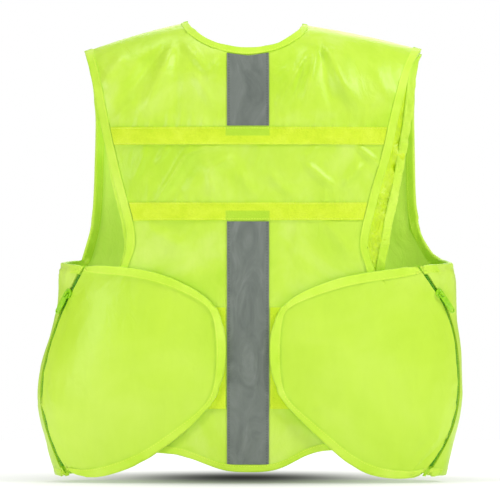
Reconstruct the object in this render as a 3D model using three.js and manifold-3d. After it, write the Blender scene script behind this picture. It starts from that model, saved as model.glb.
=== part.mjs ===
import * as THREE from "three";
import { mergeVertices } from "three/addons/utils/BufferGeometryUtils.js";
import Module from "manifold-3d";

// A zipped work vest, hanging as it is worn. Millimetres, +Z up. The origin is the middle of the
// neck opening at the height of the shoulder tops. The back faces -Y, and "left" is towards -X.

// Overall sizes
const vestLength = 535;
const waistWidth = 508;
const chestDepth = 176;
const shoulderSpan = 396;
const shoulderSlope = 31;
const neckSpan = 138;
const backNeckDrop = 31.5;
const frontNeckDrop = 150;
const armholeRise = 6;
const underarmDrop = 286;
const backHemRise = 9;

// Cloth and trims
const clothThickness = 2.4;
const liningThickness = 1.5;
const outerThickness = 3.2;
const wingCrown = 7;
const clearance = 0.4;
const bindingThickness = 1;
const edgeBindingWidth = 9;
const neckBindingWidth = 6.5;
const hemBindingWidth = 7;
const outerBindingWidth = 8;

// Bands, tape and waist panels on the back
const upperBandDrop = 121.5;
const lowerBandDrop = 210;
const bandHeight = 22.4;
const bandThickness = 1.4;
const tapeWidth = 50.8;
const tapeThickness = 0.7;
const waistLoopDrop = 333;
const waistLoopHeight = 121;
const waistLoopThickness = 1.8;

// Side zips
const zipSlot = 7;
const zipTapeWidth = 11;
const zipTapeThickness = 0.8;
const teethWidth = 4.4;
const teethRise = 0.3;
const frontZipWidth = 12;
const frontZipThickness = 1.6;
const sliderLength = 12.5;
const sliderWidth = 9;
const sliderPlate = 2;
const bridgeWidth = 2;
const bridgeBar = 1.2;
const bridgeWindow = 5;
const bridgeHeight = 2.8;
const pullLength = 30;
const pullWidth = 6.8;
const pullThickness = 1.4;
const pullBar = 1.5;
const pullSlotClearance = 0.5;
const pullHole = 3.2;
const sliderDrop = 32;

// The wings stand clear of the back by their bindings and the waist panels that they close on.
const wingLift = outerThickness + bindingThickness + waistLoopThickness + 4 * clearance;
const hemDrop = vestLength - backHemRise;
const sideLength = vestLength - underarmDrop;

// How full the section is: 2 is an ellipse, more is squarer.
const sectionPower = 2.5;
const shoulderCrownHeight = 78;
const shoulderCrownPower = 2.1;
const shoulderBow = 2.5;

// Neck and shoulder ends, as shares of half the neck span and of half the shoulder span
const sides = {
  left: { sign: -1, neck: 1.05, neckRise: 3, shoulder: 0.971, tipDrop: 1.03 },
  right: { sign: 1, neck: 0.95, neckRise: 0, shoulder: 1.03, tipDrop: 0.95 },
};

// Half widths of the worn body down its length, as shares of half the waist width,
// and depths behind and before the middle, as shares of half the chest depth
const bodyRows = [
  { down: 0.0, left: 0.887, right: 0.978, back: 0.8, front: 0.74 },
  { down: 0.12, left: 0.887, right: 0.978, back: 0.93, front: 0.86 },
  { down: 0.25, left: 0.887, right: 0.978, back: 1.0, front: 0.98 },
  { down: 0.4, left: 0.887, right: 0.978, back: 1.0, front: 1.04 },
  { down: 0.535, left: 0.887, right: 0.978, back: 0.96, front: 1.02 },
  { down: 0.64, left: 0.893, right: 0.975, back: 0.93, front: 0.98 },
  { down: 0.715, left: 0.948, right: 0.993, back: 0.92, front: 0.96 },
  { down: 0.795, left: 0.99, right: 1.008, back: 0.92, front: 0.95 },
  { down: 0.855, left: 0.988, right: 1.0, back: 0.93, front: 0.96 },
  { down: 0.905, left: 0.952, right: 0.971, back: 0.94, front: 0.97 },
  { down: 0.96, left: 0.928, right: 0.948, back: 0.95, front: 0.99 },
  { down: 1.0, left: 0.905, right: 0.935, back: 0.96, front: 1.0 },
];

// Edge of the back panel at the armhole, from the shoulder tip (0) to the underarm (1), as shares of
// half the shoulder span, and how far the lining stands out past it, as shares of the same
const armholeRows = [
  { down: 0.0, left: 0.971, right: 1.03, liningLeft: 0.0, liningRight: 0.012 },
  { down: 0.05, left: 0.95, right: 0.985, liningLeft: 0.0, liningRight: 0.032 },
  { down: 0.14, left: 0.92, right: 0.947, liningLeft: 0.0, liningRight: 0.056 },
  { down: 0.26, left: 0.891, right: 0.906, liningLeft: 0.0, liningRight: 0.083 },
  { down: 0.38, left: 0.858, right: 0.869, liningLeft: 0.004, liningRight: 0.098 },
  { down: 0.5, left: 0.824, right: 0.836, liningLeft: 0.016, liningRight: 0.103 },
  { down: 0.65, left: 0.776, right: 0.774, liningLeft: 0.026, liningRight: 0.131 },
  { down: 0.75, left: 0.738, right: 0.745, liningLeft: 0.026, liningRight: 0.126 },
  { down: 0.86, left: 0.707, right: 0.706, liningLeft: 0.026, liningRight: 0.141 },
  { down: 0.94, left: 0.709, right: 0.699, liningLeft: 0.02, liningRight: 0.13 },
  { down: 1.0, left: 0.765, right: 0.75, liningLeft: 0.01, liningRight: 0.06 },
  { down: 1.3, left: 0.775, right: 0.765, liningLeft: 0.01, liningRight: 0.04 },
  { down: 2.4, left: 0.775, right: 0.765, liningLeft: 0.01, liningRight: 0.04 },
];

// Edge of the front panels at the armhole, from the shoulder tip (0) to the underarm (1)
const frontArmholeRows = [
  { down: 0.0, left: 0.971, right: 1.03 },
  { down: 0.08, left: 0.945, right: 1.005 },
  { down: 0.24, left: 0.905, right: 0.99 },
  { down: 0.4, left: 0.915, right: 1.0 },
  { down: 0.7, left: 0.925, right: 1.004 },
  { down: 0.84, left: 0.935, right: 1.01 },
  { down: 0.92, left: 0.955, right: 1.03 },
  { down: 1.0, left: 1.0, right: 1.16 },
];

// Line of the side zips from the underarm (0) to the hem (1), as shares of the half width there
const zipRows = [
  { down: 0.0, left: 0.862, right: 0.815 },
  { down: 0.053, left: 0.895, right: 0.857 },
  { down: 0.11, left: 0.93, right: 0.897 },
  { down: 0.168, left: 0.962, right: 0.94 },
  { down: 0.25, left: 0.978, right: 0.973 },
  { down: 0.327, left: 0.98, right: 0.98 },
  { down: 0.64, left: 0.98, right: 0.98 },
  { down: 0.803, left: 0.978, right: 0.976 },
  { down: 0.88, left: 0.973, right: 0.945 },
  { down: 0.957, left: 0.945, right: 0.9 },
  { down: 1.0, left: 0.93, right: 0.875 },
];

// Top and bottom edges of the wings: across is a share of half the waist width,
// and the edges are shares of the side length below the underarm
const wingEdgeRows = [
  { across: 0.102, topLeft: 0.25, topRight: 0.25, bottomLeft: 0.535, bottomRight: 0.535 },
  { across: 0.14, topLeft: 0.183, topRight: 0.198, bottomLeft: 0.617, bottomRight: 0.617 },
  { across: 0.22, topLeft: 0.129, topRight: 0.152, bottomLeft: 0.716, bottomRight: 0.7 },
  { across: 0.3, topLeft: 0.082, topRight: 0.115, bottomLeft: 0.779, bottomRight: 0.774 },
  { across: 0.38, topLeft: 0.046, topRight: 0.082, bottomLeft: 0.846, bottomRight: 0.854 },
  { across: 0.5, topLeft: 0.012, topRight: 0.045, bottomLeft: 0.928, bottomRight: 0.957 },
  { across: 0.6, topLeft: 0.002, topRight: 0.033, bottomLeft: 0.967, bottomRight: 0.99 },
  { across: 0.72, topLeft: 0.0, topRight: 0.012, bottomLeft: 1.0, bottomRight: 1.002 },
  { across: 0.85, topLeft: 0.0, topRight: 0.002, bottomLeft: 0.99, bottomRight: 1.002 },
  { across: 0.95, topLeft: 0.0, topRight: 0.0, bottomLeft: 0.984, bottomRight: 0.988 },
];
const noseShare = 0.14;
const noseRows = [
  { down: 0.183, left: 0.14, right: 0.14 },
  { down: 0.25, left: 0.114, right: 0.114 },
  { down: 0.32, left: 0.103, right: 0.102 },
  { down: 0.435, left: 0.103, right: 0.1 },
  { down: 0.535, left: 0.109, right: 0.107 },
  { down: 0.617, left: 0.14, right: 0.14 },
];
const frontHemShare = 0.988;

// How far the front hem is cut up towards the front zip: across is a share of half the waist width,
// rise a share of the height from the hem to the underarm
const frontHemRows = [
  { across: 0.0, rise: 0.14 },
  { across: 0.24, rise: 0.14 },
  { across: 0.36, rise: 0.135 },
  { across: 0.45, rise: 0.1 },
  { across: 0.56, rise: 0.05 },
  { across: 0.7, rise: 0.0 },
];

// Back hem: across is a share of half the waist width, rise a share of the side length
const backHemRows = [
  { across: 0.0, left: 0.0, right: 0.0 },
  { across: 0.11, left: 0.0, right: 0.0 },
  { across: 0.19, left: 0.034, right: 0.03 },
  { across: 0.24, left: 0.055, right: 0.068 },
  { across: 0.32, left: 0.086, right: 0.1 },
  { across: 0.62, left: 0.095, right: 0.1 },
];

// Broad folds of the back cloth: a soft ridge (or a dent, where height is less than 0) along a line.
// Places are shares of half the shoulder span across and of the underarm drop down.
const foldRows = [
  { fromAcross: -0.34, fromDown: 0.1, toAcross: -0.78, toDown: 0.4, spread: 0.07, height: 0.0075 },
  { fromAcross: -0.3, fromDown: 0.14, toAcross: -0.42, toDown: 0.4, spread: 0.05, height: -0.0055 },
  { fromAcross: 0.32, fromDown: 0.1, toAcross: 0.78, toDown: 0.38, spread: 0.07, height: 0.0075 },
  { fromAcross: 0.28, fromDown: 0.14, toAcross: 0.4, toDown: 0.4, spread: 0.05, height: -0.0055 },
  { fromAcross: -0.6, fromDown: 0.55, toAcross: -0.1, toDown: 0.68, spread: 0.06, height: 0.006 },
  { fromAcross: 0.65, fromDown: 0.52, toAcross: 0.2, toDown: 0.69, spread: 0.06, height: 0.006 },
  { fromAcross: -0.55, fromDown: 0.84, toAcross: -0.2, toDown: 0.92, spread: 0.06, height: -0.006 },
  { fromAcross: 0.5, fromDown: 0.83, toAcross: 0.22, toDown: 0.94, spread: 0.06, height: -0.006 },
];

const finishes = {
  cloth: { color: 0xc4f04a, roughness: 0.55, metalness: 0 },
  lining: { color: 0xb4e640, roughness: 0.6, metalness: 0 },
  binding: { color: 0xd2f55c, roughness: 0.6, metalness: 0 },
  loop: { color: 0xd0ee3c, roughness: 0.9, metalness: 0 },
  tape: { color: 0x7b8580, roughness: 0.4, metalness: 0.1 },
  zip: { color: 0x74c81e, roughness: 0.5, metalness: 0 },
  zipMetal: { color: 0x7fd421, roughness: 0.35, metalness: 0.2 },
};

function mix(a, b, share) {
  return a + (b - a) * share;
}

function clamp(value, low, high) {
  return Math.min(high, Math.max(low, value));
}

// Smooth curve through a table's rows: "input" and "output" name its columns.
function alongTable(rows, input, output, value) {
  const last = rows.length - 1;
  if (value <= rows[0][input]) {
    return rows[0][output];
  }
  if (value >= rows[last][input]) {
    return rows[last][output];
  }
  const k = rows.findIndex((row) => row[input] > value) - 1;
  const slope = (i) => {
    const a = rows[Math.max(i - 1, 0)];
    const b = rows[Math.min(i + 1, last)];
    return (b[output] - a[output]) / (b[input] - a[input]);
  };
  const span = rows[k + 1][input] - rows[k][input];
  const t = (value - rows[k][input]) / span;
  const rise = t * t * (3 - 2 * t);
  const leave = t * (1 - t) * (1 - t) * span * slope(k);
  const arrive = t * t * (t - 1) * span * slope(k + 1);
  return mix(rows[k][output], rows[k + 1][output], rise) + leave + arrive;
}

// The worn form. "inset" is how far a layer lies inside the front panels and wings.
function halfWidth(side, z, inset) {
  return alongTable(bodyRows, "down", side, -z / vestLength) * (waistWidth / 2) - inset;
}

function halfDepth(facing, z, inset) {
  return alongTable(bodyRows, "down", facing, -z / vestLength) * (chestDepth / 2) - inset;
}

function shoulderTop(side, x) {
  const { neck, neckRise, shoulder, tipDrop } = sides[side];
  const nearNeck = (neck * neckSpan) / 2;
  const tip = (shoulder * shoulderSpan) / 2;
  const share = (Math.abs(x) - nearNeck) / (tip - nearNeck);
  const bow = shoulderBow * 4 * share * (1 - share);
  return neckRise - share * (shoulderSlope * tipDrop + neckRise) + Math.max(bow, 0);
}

// Towards the shoulder tops, the back and the front round over to meet at the seam.
function shoulderRounding(side, x, z) {
  const start = shoulderTop(side, x) - shoulderCrownHeight;
  const share = clamp((z - start) / shoulderCrownHeight, 0, 1);
  return Math.pow(1 - Math.pow(share, shoulderCrownPower), 1 / shoulderCrownPower);
}

function surfaceY(facing, x, z, inset) {
  const side = x < 0 ? "left" : "right";
  const share = clamp(Math.abs(x) / halfWidth(side, z, inset), 0, 1);
  const section = Math.pow(1 - Math.pow(share, sectionPower), 1 / sectionPower);
  const reach = halfDepth(facing, z, inset) * section * shoulderRounding(side, x, z);
  return facing === "back" ? -reach : reach;
}

// A turn of 0 is the middle of the back, 90 the side and 180 the middle of the front.
function turnAt(side, facing, x, z) {
  const share = clamp(Math.abs(x) / halfWidth(side, z, 0), 0, 1);
  const turn = THREE.MathUtils.radToDeg(Math.asin(Math.pow(share, sectionPower / 2)));
  return facing === "back" ? turn : 180 - turn;
}

function turnPoint(side, turn, z) {
  const angle = THREE.MathUtils.degToRad(turn);
  const facing = turn < 90 ? "back" : "front";
  const across = halfWidth(side, z, 0) * Math.pow(Math.abs(Math.sin(angle)), 2 / sectionPower);
  const reach = halfDepth(facing, z, 0) * Math.pow(Math.abs(Math.cos(angle)), 2 / sectionPower);
  return new THREE.Vector3(sides[side].sign * across, facing === "back" ? -reach : reach, z);
}

// Turn that lies a distance along the section from a first turn.
function turnAlong(side, turn, z, distance) {
  const step = 0.5;
  const near = turnPoint(side, turn - step, z);
  const far = turnPoint(side, turn + step, z);
  return turn + (distance * 2 * step) / near.distanceTo(far);
}

function foldHeight(x, z) {
  let height = 0;
  for (const fold of foldRows) {
    const from = new THREE.Vector2(fold.fromAcross * shoulderSpan / 2, -fold.fromDown * underarmDrop);
    const to = new THREE.Vector2(fold.toAcross * shoulderSpan / 2, -fold.toDown * underarmDrop);
    const run = to.clone().sub(from);
    const share = new THREE.Vector2(x, z).sub(from).dot(run) / run.lengthSq();
    const nearest = from.clone().addScaledVector(run, clamp(share, 0, 1));
    const away = nearest.distanceTo(new THREE.Vector2(x, z)) / (fold.spread * underarmDrop);
    height += fold.height * underarmDrop * Math.exp(-away * away);
  }
  return height;
}

// A net is a grid of points on a surface, with the way out at each one. Rows run down and columns
// across, and a cell is left out where has() is false. A cell is split from its top left corner to
// its bottom right one, or the other way where leans() is true.
function makeNet(rows, columns, place, has = () => true, leans = () => false) {
  const point = [];
  for (let r = 0; r < rows; r += 1) {
    point.push([]);
    for (let c = 0; c < columns; c += 1) {
      point[r].push(place(r, c));
    }
  }
  const cellIn = (r, c) => r >= 0 && c >= 0 && r < rows - 1 && c < columns - 1 && has(r, c);
  const normal = point.map((row) => row.map(() => new THREE.Vector3()));
  let facing = 0;
  for (let r = 0; r < rows - 1; r += 1) {
    for (let c = 0; c < columns - 1; c += 1) {
      if (!cellIn(r, c)) continue;
      const down = point[r + 1][c + 1].clone().sub(point[r][c]);
      const up = point[r][c + 1].clone().sub(point[r + 1][c]);
      const out = down.cross(up).normalize();
      facing += out.dot(point[r][c].clone().setZ(0));
      for (const [i, j] of [[r, c], [r + 1, c], [r, c + 1], [r + 1, c + 1]]) {
        normal[i][j].add(out);
      }
    }
  }
  normal.forEach((row) => row.forEach((out, c) => {
    if (out.lengthSq() === 0 && c > 0) out.copy(row[c - 1]);
    out.normalize();
  }));
  if (facing < 0) {
    normal.forEach((row) => row.forEach((out) => out.negate()));
  }
  return { rows, columns, point, normal, cellIn, leans };
}

function lifted(net, r, c, height) {
  return net.point[r][c].clone().addScaledVector(net.normal[r][c], height);
}

// Part of a net, with its outer rows and columns drawn in by a clearance.
function subNet(net, fromRow, toRow, fromColumn, toColumn, draw) {
  const slide = (r, c, r2, c2) => {
    const start = net.point[r][c];
    const way = net.point[r2][c2].clone().sub(start);
    return way.setLength(draw);
  };
  const place = (i, j) => {
    const r = fromRow + i;
    const c = fromColumn + j;
    const moved = net.point[r][c].clone();
    if (r === fromRow) moved.add(slide(r, c, r + 1, c));
    if (r === toRow) moved.add(slide(r, c, r - 1, c));
    if (c === fromColumn) moved.add(slide(r, c, r, c + 1));
    if (c === toColumn) moved.add(slide(r, c, r, c - 1));
    return moved;
  };
  const leans = (i, j) => net.leans(fromRow + i, fromColumn + j);
  const part = makeNet(toRow - fromRow + 1, toColumn - fromColumn + 1, place, () => true, leans);
  part.normal = part.normal.map((row, i) => row.map((_, j) => net.normal[fromRow + i][fromColumn + j]));
  return part;
}

// A closed sheet over a net's cells, between two heights above it.
function sheet(net, top, under) {
  const triangles = [];
  const topAt = (r, c) => lifted(net, r, c, top(r, c));
  const underAt = (r, c) => lifted(net, r, c, under(r, c));
  for (let r = 0; r < net.rows - 1; r += 1) {
    for (let c = 0; c < net.columns - 1; c += 1) {
      if (!net.cellIn(r, c)) continue;
      const ring = [[r, c], [r + 1, c], [r + 1, c + 1], [r, c + 1]];
      const beyond = [[r, c - 1], [r + 1, c], [r, c + 1], [r - 1, c]];
      const high = ring.map(([i, j]) => topAt(i, j));
      const low = ring.map(([i, j]) => underAt(i, j));
      const split = net.leans(r, c) ? [[0, 1, 3], [1, 2, 3]] : [[0, 1, 2], [0, 2, 3]];
      for (const [i, j, k] of split) {
        triangles.push([high[i], high[j], high[k]], [low[k], low[j], low[i]]);
      }
      for (let k = 0; k < 4; k += 1) {
        if (net.cellIn(...beyond[k])) continue;
        const n = (k + 1) % 4;
        triangles.push([high[n], high[k], low[k]], [high[n], low[k], low[n]]);
      }
    }
  }
  return triangles;
}

// A folded edge tape along a chain of net points. Each link has the edge point and the point a
// tape's width inside it, and the tape holds the cloth between two flaps.
function foldedBinding(net, chain, thickness) {
  const outward = new Map();
  for (const [edge, inside] of chain) {
    const way = net.point[edge[0]][edge[1]].clone().sub(net.point[inside[0]][inside[1]]).normalize();
    const key = edge.join();
    outward.set(key, (outward.get(key) ?? new THREE.Vector3()).add(way));
  }
  const outer = clearance + bindingThickness;
  const sections = chain.map(([edge, inside]) => {
    const way = outward.get(edge.join()).clone().normalize();
    const atEdge = (height, out) => lifted(net, ...edge, height).addScaledVector(way, out);
    const atInside = (height) => lifted(net, ...inside, height);
    return [
      atInside(outer),
      atEdge(outer, outer),
      atEdge(-thickness - outer, outer),
      atInside(-thickness - outer),
      atInside(-thickness - clearance),
      atEdge(-thickness - clearance, clearance),
      atEdge(clearance, clearance),
      atInside(clearance),
    ];
  });
  const triangles = [];
  const quad = (a, b, c, d, crossed) => {
    if (crossed) {
      triangles.push([a, b, c], [a, c, d]);
    } else {
      triangles.push([a, b, d], [b, c, d]);
    }
  };
  for (let k = 0; k < chain.length - 1; k += 1) {
    const [[r, c]] = chain[k];
    const [, [r2, c2]] = chain[k + 1];
    const falling = (r2 - r) * (c2 - c) > 0;
    const edgeFirst = net.leans(Math.min(r, r2), Math.min(c, c2)) ? !falling : falling;
    for (let i = 0; i < 8; i += 1) {
      const n = (i + 1) % 8;
      const startsAtEdge = i === 2 || i === 6;
      const s = sections[k];
      const t = sections[k + 1];
      quad(s[i], s[n], t[n], t[i], startsAtEdge === edgeFirst);
    }
  }
  for (const [s, flip] of [[sections[0], false], [sections[chain.length - 1], true]]) {
    for (const [a, b, c, d] of [[0, 1, 6, 7], [1, 2, 5, 6], [2, 3, 4, 5]]) {
      if (flip) {
        triangles.push([s[a], s[b], s[c]], [s[a], s[c], s[d]]);
      } else {
        triangles.push([s[a], s[c], s[b]], [s[a], s[d], s[c]]);
      }
    }
  }
  return triangles;
}

// One closed body from triangles: equal corners are shared and empty triangles dropped.
function solidGeometry(triangles) {
  const corners = new Map();
  const positions = [];
  const index = [];
  const cornerOf = (p) => {
    const key = [p.x, p.y, p.z].map((v) => Math.round(v * 500)).join();
    if (!corners.has(key)) {
      corners.set(key, positions.length / 3);
      positions.push(p.x, p.y, p.z);
    }
    return corners.get(key);
  };
  let volume = 0;
  for (const [a, b, c] of triangles) {
    const [i, j, k] = [cornerOf(a), cornerOf(b), cornerOf(c)];
    if (i === j || j === k || k === i) continue;
    index.push(i, j, k);
    volume += a.dot(b.clone().cross(c));
  }
  if (volume < 0) {
    index.reverse();
  }
  const geometry = new THREE.BufferGeometry();
  geometry.setAttribute("position", new THREE.Float32BufferAttribute(positions, 3));
  geometry.setIndex(index);
  geometry.computeVertexNormals();
  return geometry;
}

const vest = new THREE.Group();

function addPiece(name, geometry, finish, parent = vest) {
  const mesh = new THREE.Mesh(geometry, new THREE.MeshStandardMaterial(finishes[finish]));
  mesh.name = name;
  parent.add(mesh);
  return mesh;
}

function addSheet(name, net, top, under, finish) {
  return addPiece(name, solidGeometry(sheet(net, () => top, () => under)), finish);
}

// Neckline of the back, from the neck point down to the middle
function necklineX(side, z) {
  const half = (sides[side].neck * neckSpan) / 2;
  const top = sides[side].neckRise;
  const share = clamp((top - z) / (top + backNeckDrop), 0, 1);
  return half * Math.pow(1 - Math.pow(share, 1.7), 1 / 1.7);
}

function necklineZ(side, x) {
  const half = (sides[side].neck * neckSpan) / 2;
  const top = sides[side].neckRise;
  const share = clamp(Math.abs(x) / half, 0, 1);
  return top - (top + backNeckDrop) * Math.pow(1 - Math.pow(share, 1.7), 1 / 1.7);
}

// Angle below level of the line square to the neckline, at a height
function necklineTurn(side, z) {
  return Math.atan2(necklineX(side, z + 1) - necklineX(side, z - 1), 2);
}

function tipOf(side) {
  const { shoulder } = sides[side];
  const x = (shoulder * shoulderSpan) / 2;
  return { x, z: shoulderTop(side, x) };
}

function armholeShare(side, z) {
  const top = tipOf(side).z;
  return (top - z) / (top + underarmDrop);
}

// Rows of the back net. The first rows belong to the shoulders alone, beside the neck.
const crownDrops = [0, 0.035, 0.12, 0.27];
const backRow = {
  neck: 3, neckBinding: 4, bandTop: 7, bandBottom: 8, lowBandTop: 11, lowBandBottom: 12, underarm: 15,
  loopTop: 17, loopBottom: 21, hemBinding: 24, hem: 25,
};
const backColumn = { binding: 1, neckBinding: 4, neck: 5, tape: 7, middle: 8, last: 16 };

// Net points a binding's width from the neckline, with their turn from square to it, in degrees.
// The last three stand around the edge point where the net turns from beside the neck to under it.
const neckInnerTurns = [
  [1, backColumn.neckBinding, 0],
  [2, backColumn.neckBinding, 0],
  [backRow.neck, backColumn.neckBinding, -20],
  [backRow.neckBinding, backColumn.neckBinding, 0],
  [backRow.neckBinding, backColumn.neck, 20],
];

function backNet({ liningEdge, neckLower }) {
  const columnSide = (c) => (c <= backColumn.middle ? "left" : "right");
  const mirrored = (c) => (c <= backColumn.middle ? c : backColumn.last - c);

  const edgeX = (side, z) => {
    const share = armholeShare(side, z);
    const column = side === "left" ? "liningLeft" : "liningRight";
    const extra = liningEdge ? alongTable(armholeRows, "down", column, share) : 0;
    return ((alongTable(armholeRows, "down", side, share) + extra) * shoulderSpan) / 2;
  };

  // Distance from the middle, for a column at a height
  const columnX = (side, k, z, neckX, spread) => {
    const edge = edgeX(side, z);
    const binding = edge - edgeBindingWidth;
    const neckEven = (sides[side].neck * neckSpan) / 2;
    if (k === 0) return edge;
    if (k === backColumn.binding) return binding;
    if (k < backColumn.neckBinding) {
      const inner = mix(neckX + neckBindingWidth, mix(neckEven, binding, 0.25), spread);
      return mix(inner, binding, (backColumn.neckBinding - k) / (backColumn.neckBinding - 1));
    }
    if (k === backColumn.neckBinding) {
      return mix(neckX + neckBindingWidth, mix(neckEven, binding, 0.25), spread);
    }
    if (k === backColumn.neck) return mix(neckX, neckEven, spread);
    if (k < backColumn.tape) return mix(tapeWidth / 2, mix(neckX, neckEven, spread), 0.5);
    if (k === backColumn.tape) return tapeWidth / 2;
    return 0;
  };

  const hemAt = (side, x) => {
    const rise = alongTable(backHemRows, "across", side, Math.abs(x) / (waistWidth / 2)) * sideLength;
    return rise - hemDrop;
  };

  const fixedRows = [
    [backRow.bandTop, -upperBandDrop],
    [backRow.bandBottom, -upperBandDrop - bandHeight],
    [backRow.lowBandTop, -lowerBandDrop],
    [backRow.lowBandBottom, -lowerBandDrop - bandHeight],
    [backRow.underarm, -underarmDrop],
    [backRow.loopTop, -waistLoopDrop],
    [backRow.loopBottom, -waistLoopDrop - waistLoopHeight],
  ];

  const place = (r, c) => {
    const side = columnSide(c);
    const k = mirrored(c);
    const sign = sides[side].sign;
    let z;
    let x;
    if (r <= backRow.bandTop) {
      const crown = crownDrops[Math.min(r, backRow.neck)] * shoulderCrownHeight;
      const neckX = necklineX(side, sides[side].neckRise - crown);
      const spread = clamp((r - backRow.neckBinding) / (backRow.bandTop - backRow.neckBinding), 0, 1);
      const low = clamp((backRow.bandTop - r) / (backRow.bandTop - backRow.neck), 0, 1);
      const lower = r >= backRow.neck && k >= backColumn.neckBinding - 1 ? neckLower * low : 0;
      x = columnX(side, k, tipOf(side).z - crown, neckX, spread);
      let startZ = shoulderTop(side, x) - crown;
      if (k === backColumn.neck && r >= backRow.neck) startZ = sides[side].neckRise - crown;
      if (k > backColumn.neck) startZ = necklineZ(side, x);
      z = startZ;
      if (r > backRow.neck) {
        z = mix(startZ - neckBindingWidth, -upperBandDrop, spread);
      }
      x = columnX(side, k, z - lower, neckX, spread);
      if (r === backRow.neck && k > backColumn.neck) {
        z = necklineZ(side, x);
      }
      z -= lower;
      const inner = neckInnerTurns.find(([row, column]) => row === r && column === k);
      if (inner && !liningEdge) {
        const edgeZ = sides[side].neckRise - crown;
        const turn = necklineTurn(side, edgeZ) + THREE.MathUtils.degToRad(inner[2]);
        x = neckX + neckBindingWidth * Math.cos(turn);
        z = edgeZ - neckBindingWidth * Math.sin(turn);
      }
    } else if (r <= backRow.loopBottom) {
      const after = fixedRows.findIndex(([row]) => row >= r);
      const [rowA, zA] = fixedRows[Math.max(after - 1, 0)];
      const [rowB, zB] = fixedRows[after];
      z = rowA === rowB ? zB : mix(zA, zB, (r - rowA) / (rowB - rowA));
      x = columnX(side, k, z, 0, 1);
    } else {
      x = columnX(side, k, -hemDrop, 0, 1);
      const low = hemAt(side, x);
      const start = -waistLoopDrop - waistLoopHeight;
      const bindingZ = low + hemBindingWidth;
      const share = (r - backRow.loopBottom) / (backRow.hemBinding - backRow.loopBottom);
      z = r === backRow.hem ? low : mix(start, bindingZ, share);
    }
    const lift = r === 0 ? clearance / 2 : foldHeight(sign * x, z);
    return new THREE.Vector3(sign * x, surfaceY("back", sign * x, z, wingLift) - lift, z);
  };

  const besideNeck = (c) => mirrored(c) <= backColumn.neck && mirrored(c + 1) <= backColumn.neck;
  const has = (r, c) => r >= backRow.neck || besideNeck(c);
  const leans = (r, c) => c < backColumn.middle;
  const net = makeNet(backRow.hem + 1, backColumn.last + 1, place, has, leans);
  for (const out of net.normal[0]) {
    out.setY(0).normalize();
    if (out.z < 0) out.negate();
  }
  return net;
}

// Chains of edge points with the points a binding's width inside them
function columnChain(fromRow, toRow, edge, inside) {
  const chain = [];
  for (let r = fromRow; r <= toRow; r += 1) {
    chain.push([[r, edge], [r, inside]]);
  }
  return chain;
}

function rowChain(fromColumn, toColumn, edge, inside) {
  const chain = [];
  const step = Math.sign(toColumn - fromColumn);
  for (let c = fromColumn; c !== toColumn + step; c += step) {
    chain.push([[edge, c], [inside, c]]);
  }
  return chain;
}

function addBackPieces() {
  const net = backNet({ liningEdge: false, neckLower: 0 });
  const lining = backNet({ liningEdge: true, neckLower: neckBindingWidth + 3 * clearance });
  addSheet("back_panel", net, 0, -clothThickness, "cloth");

  // The lining hangs inside both flaps of the bindings of the panel before it.
  const liningTop = -(clothThickness + 2 * bindingThickness + 4 * clearance);
  addSheet("back_lining", lining, liningTop, liningTop - liningThickness, "lining");

  const last = backColumn.last;
  for (const [side, edge, inside] of [["left", 0, 1], ["right", last, last - 1]]) {
    const chain = columnChain(0, backRow.hem, edge, inside);
    addPiece(`back_binding_${side}`, solidGeometry(foldedBinding(net, chain, clothThickness)), "binding");
    const liningNet = { ...lining };
    liningNet.point = lining.point.map((row, r) => row.map((_, c) => lifted(lining, r, c, liningTop)));
    const liningBinding = foldedBinding(liningNet, chain, liningThickness);
    addPiece(`lining_binding_${side}`, solidGeometry(liningBinding), "binding");
  }

  const neckLeft = backColumn.neck;
  const neckRight = last - backColumn.neck;
  const neckChain = [
    ...columnChain(0, backRow.neck, neckLeft, neckLeft - 1),
    [[backRow.neck, neckLeft], [backRow.neckBinding, neckLeft - 1]],
    ...rowChain(neckLeft, neckRight, backRow.neck, backRow.neckBinding),
    [[backRow.neck, neckRight], [backRow.neckBinding, neckRight + 1]],
    ...columnChain(0, backRow.neck, neckRight, neckRight + 1).reverse(),
  ];
  addPiece("neck_binding_back", solidGeometry(foldedBinding(net, neckChain, clothThickness)), "binding");
  const hemNet = subNet(net, backRow.hemBinding, backRow.hem, 1, last - 1, 0);
  const hemFirst = hemNet.columns - 1;
  for (let r = 0; r < hemNet.rows; r += 1) {
    const drawIn = (c, to) => hemNet.point[r][to].clone().sub(hemNet.point[r][c]).setLength(2 * clearance);
    hemNet.point[r][0].add(drawIn(0, 1));
    hemNet.point[r][hemFirst].add(drawIn(hemFirst, hemFirst - 1));
  }
  const hemChain = rowChain(0, hemFirst, 1, 0);
  addPiece("hem_binding_back", solidGeometry(foldedBinding(hemNet, hemChain, clothThickness)), "binding");

  const onCloth = (name, fromRow, toRow, fromColumn, toColumn, thickness, finish) => {
    const part = subNet(net, fromRow, toRow, fromColumn, toColumn, 2 * clearance);
    addSheet(name, part, clearance + thickness, clearance, finish);
  };
  const { bandTop, bandBottom, lowBandTop, lowBandBottom, loopTop, loopBottom } = backRow;
  const { tape } = backColumn;
  onCloth("loop_band_upper", bandTop, bandBottom, 1, last - 1, bandThickness, "loop");
  onCloth("loop_band_lower", lowBandTop, lowBandBottom, 1, last - 1, bandThickness, "loop");
  const { neckBinding, hemBinding } = backRow;
  onCloth("reflective_tape_upper", neckBinding, bandTop, tape, last - tape, tapeThickness, "tape");
  onCloth("reflective_tape_lower", lowBandBottom, hemBinding, tape, last - tape, tapeThickness, "tape");
  onCloth("waist_loop_left", loopTop, loopBottom, 2, tape, waistLoopThickness, "loop");
  onCloth("waist_loop_right", loopTop, loopBottom, last - tape, last - 2, waistLoopThickness, "loop");
}

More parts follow.
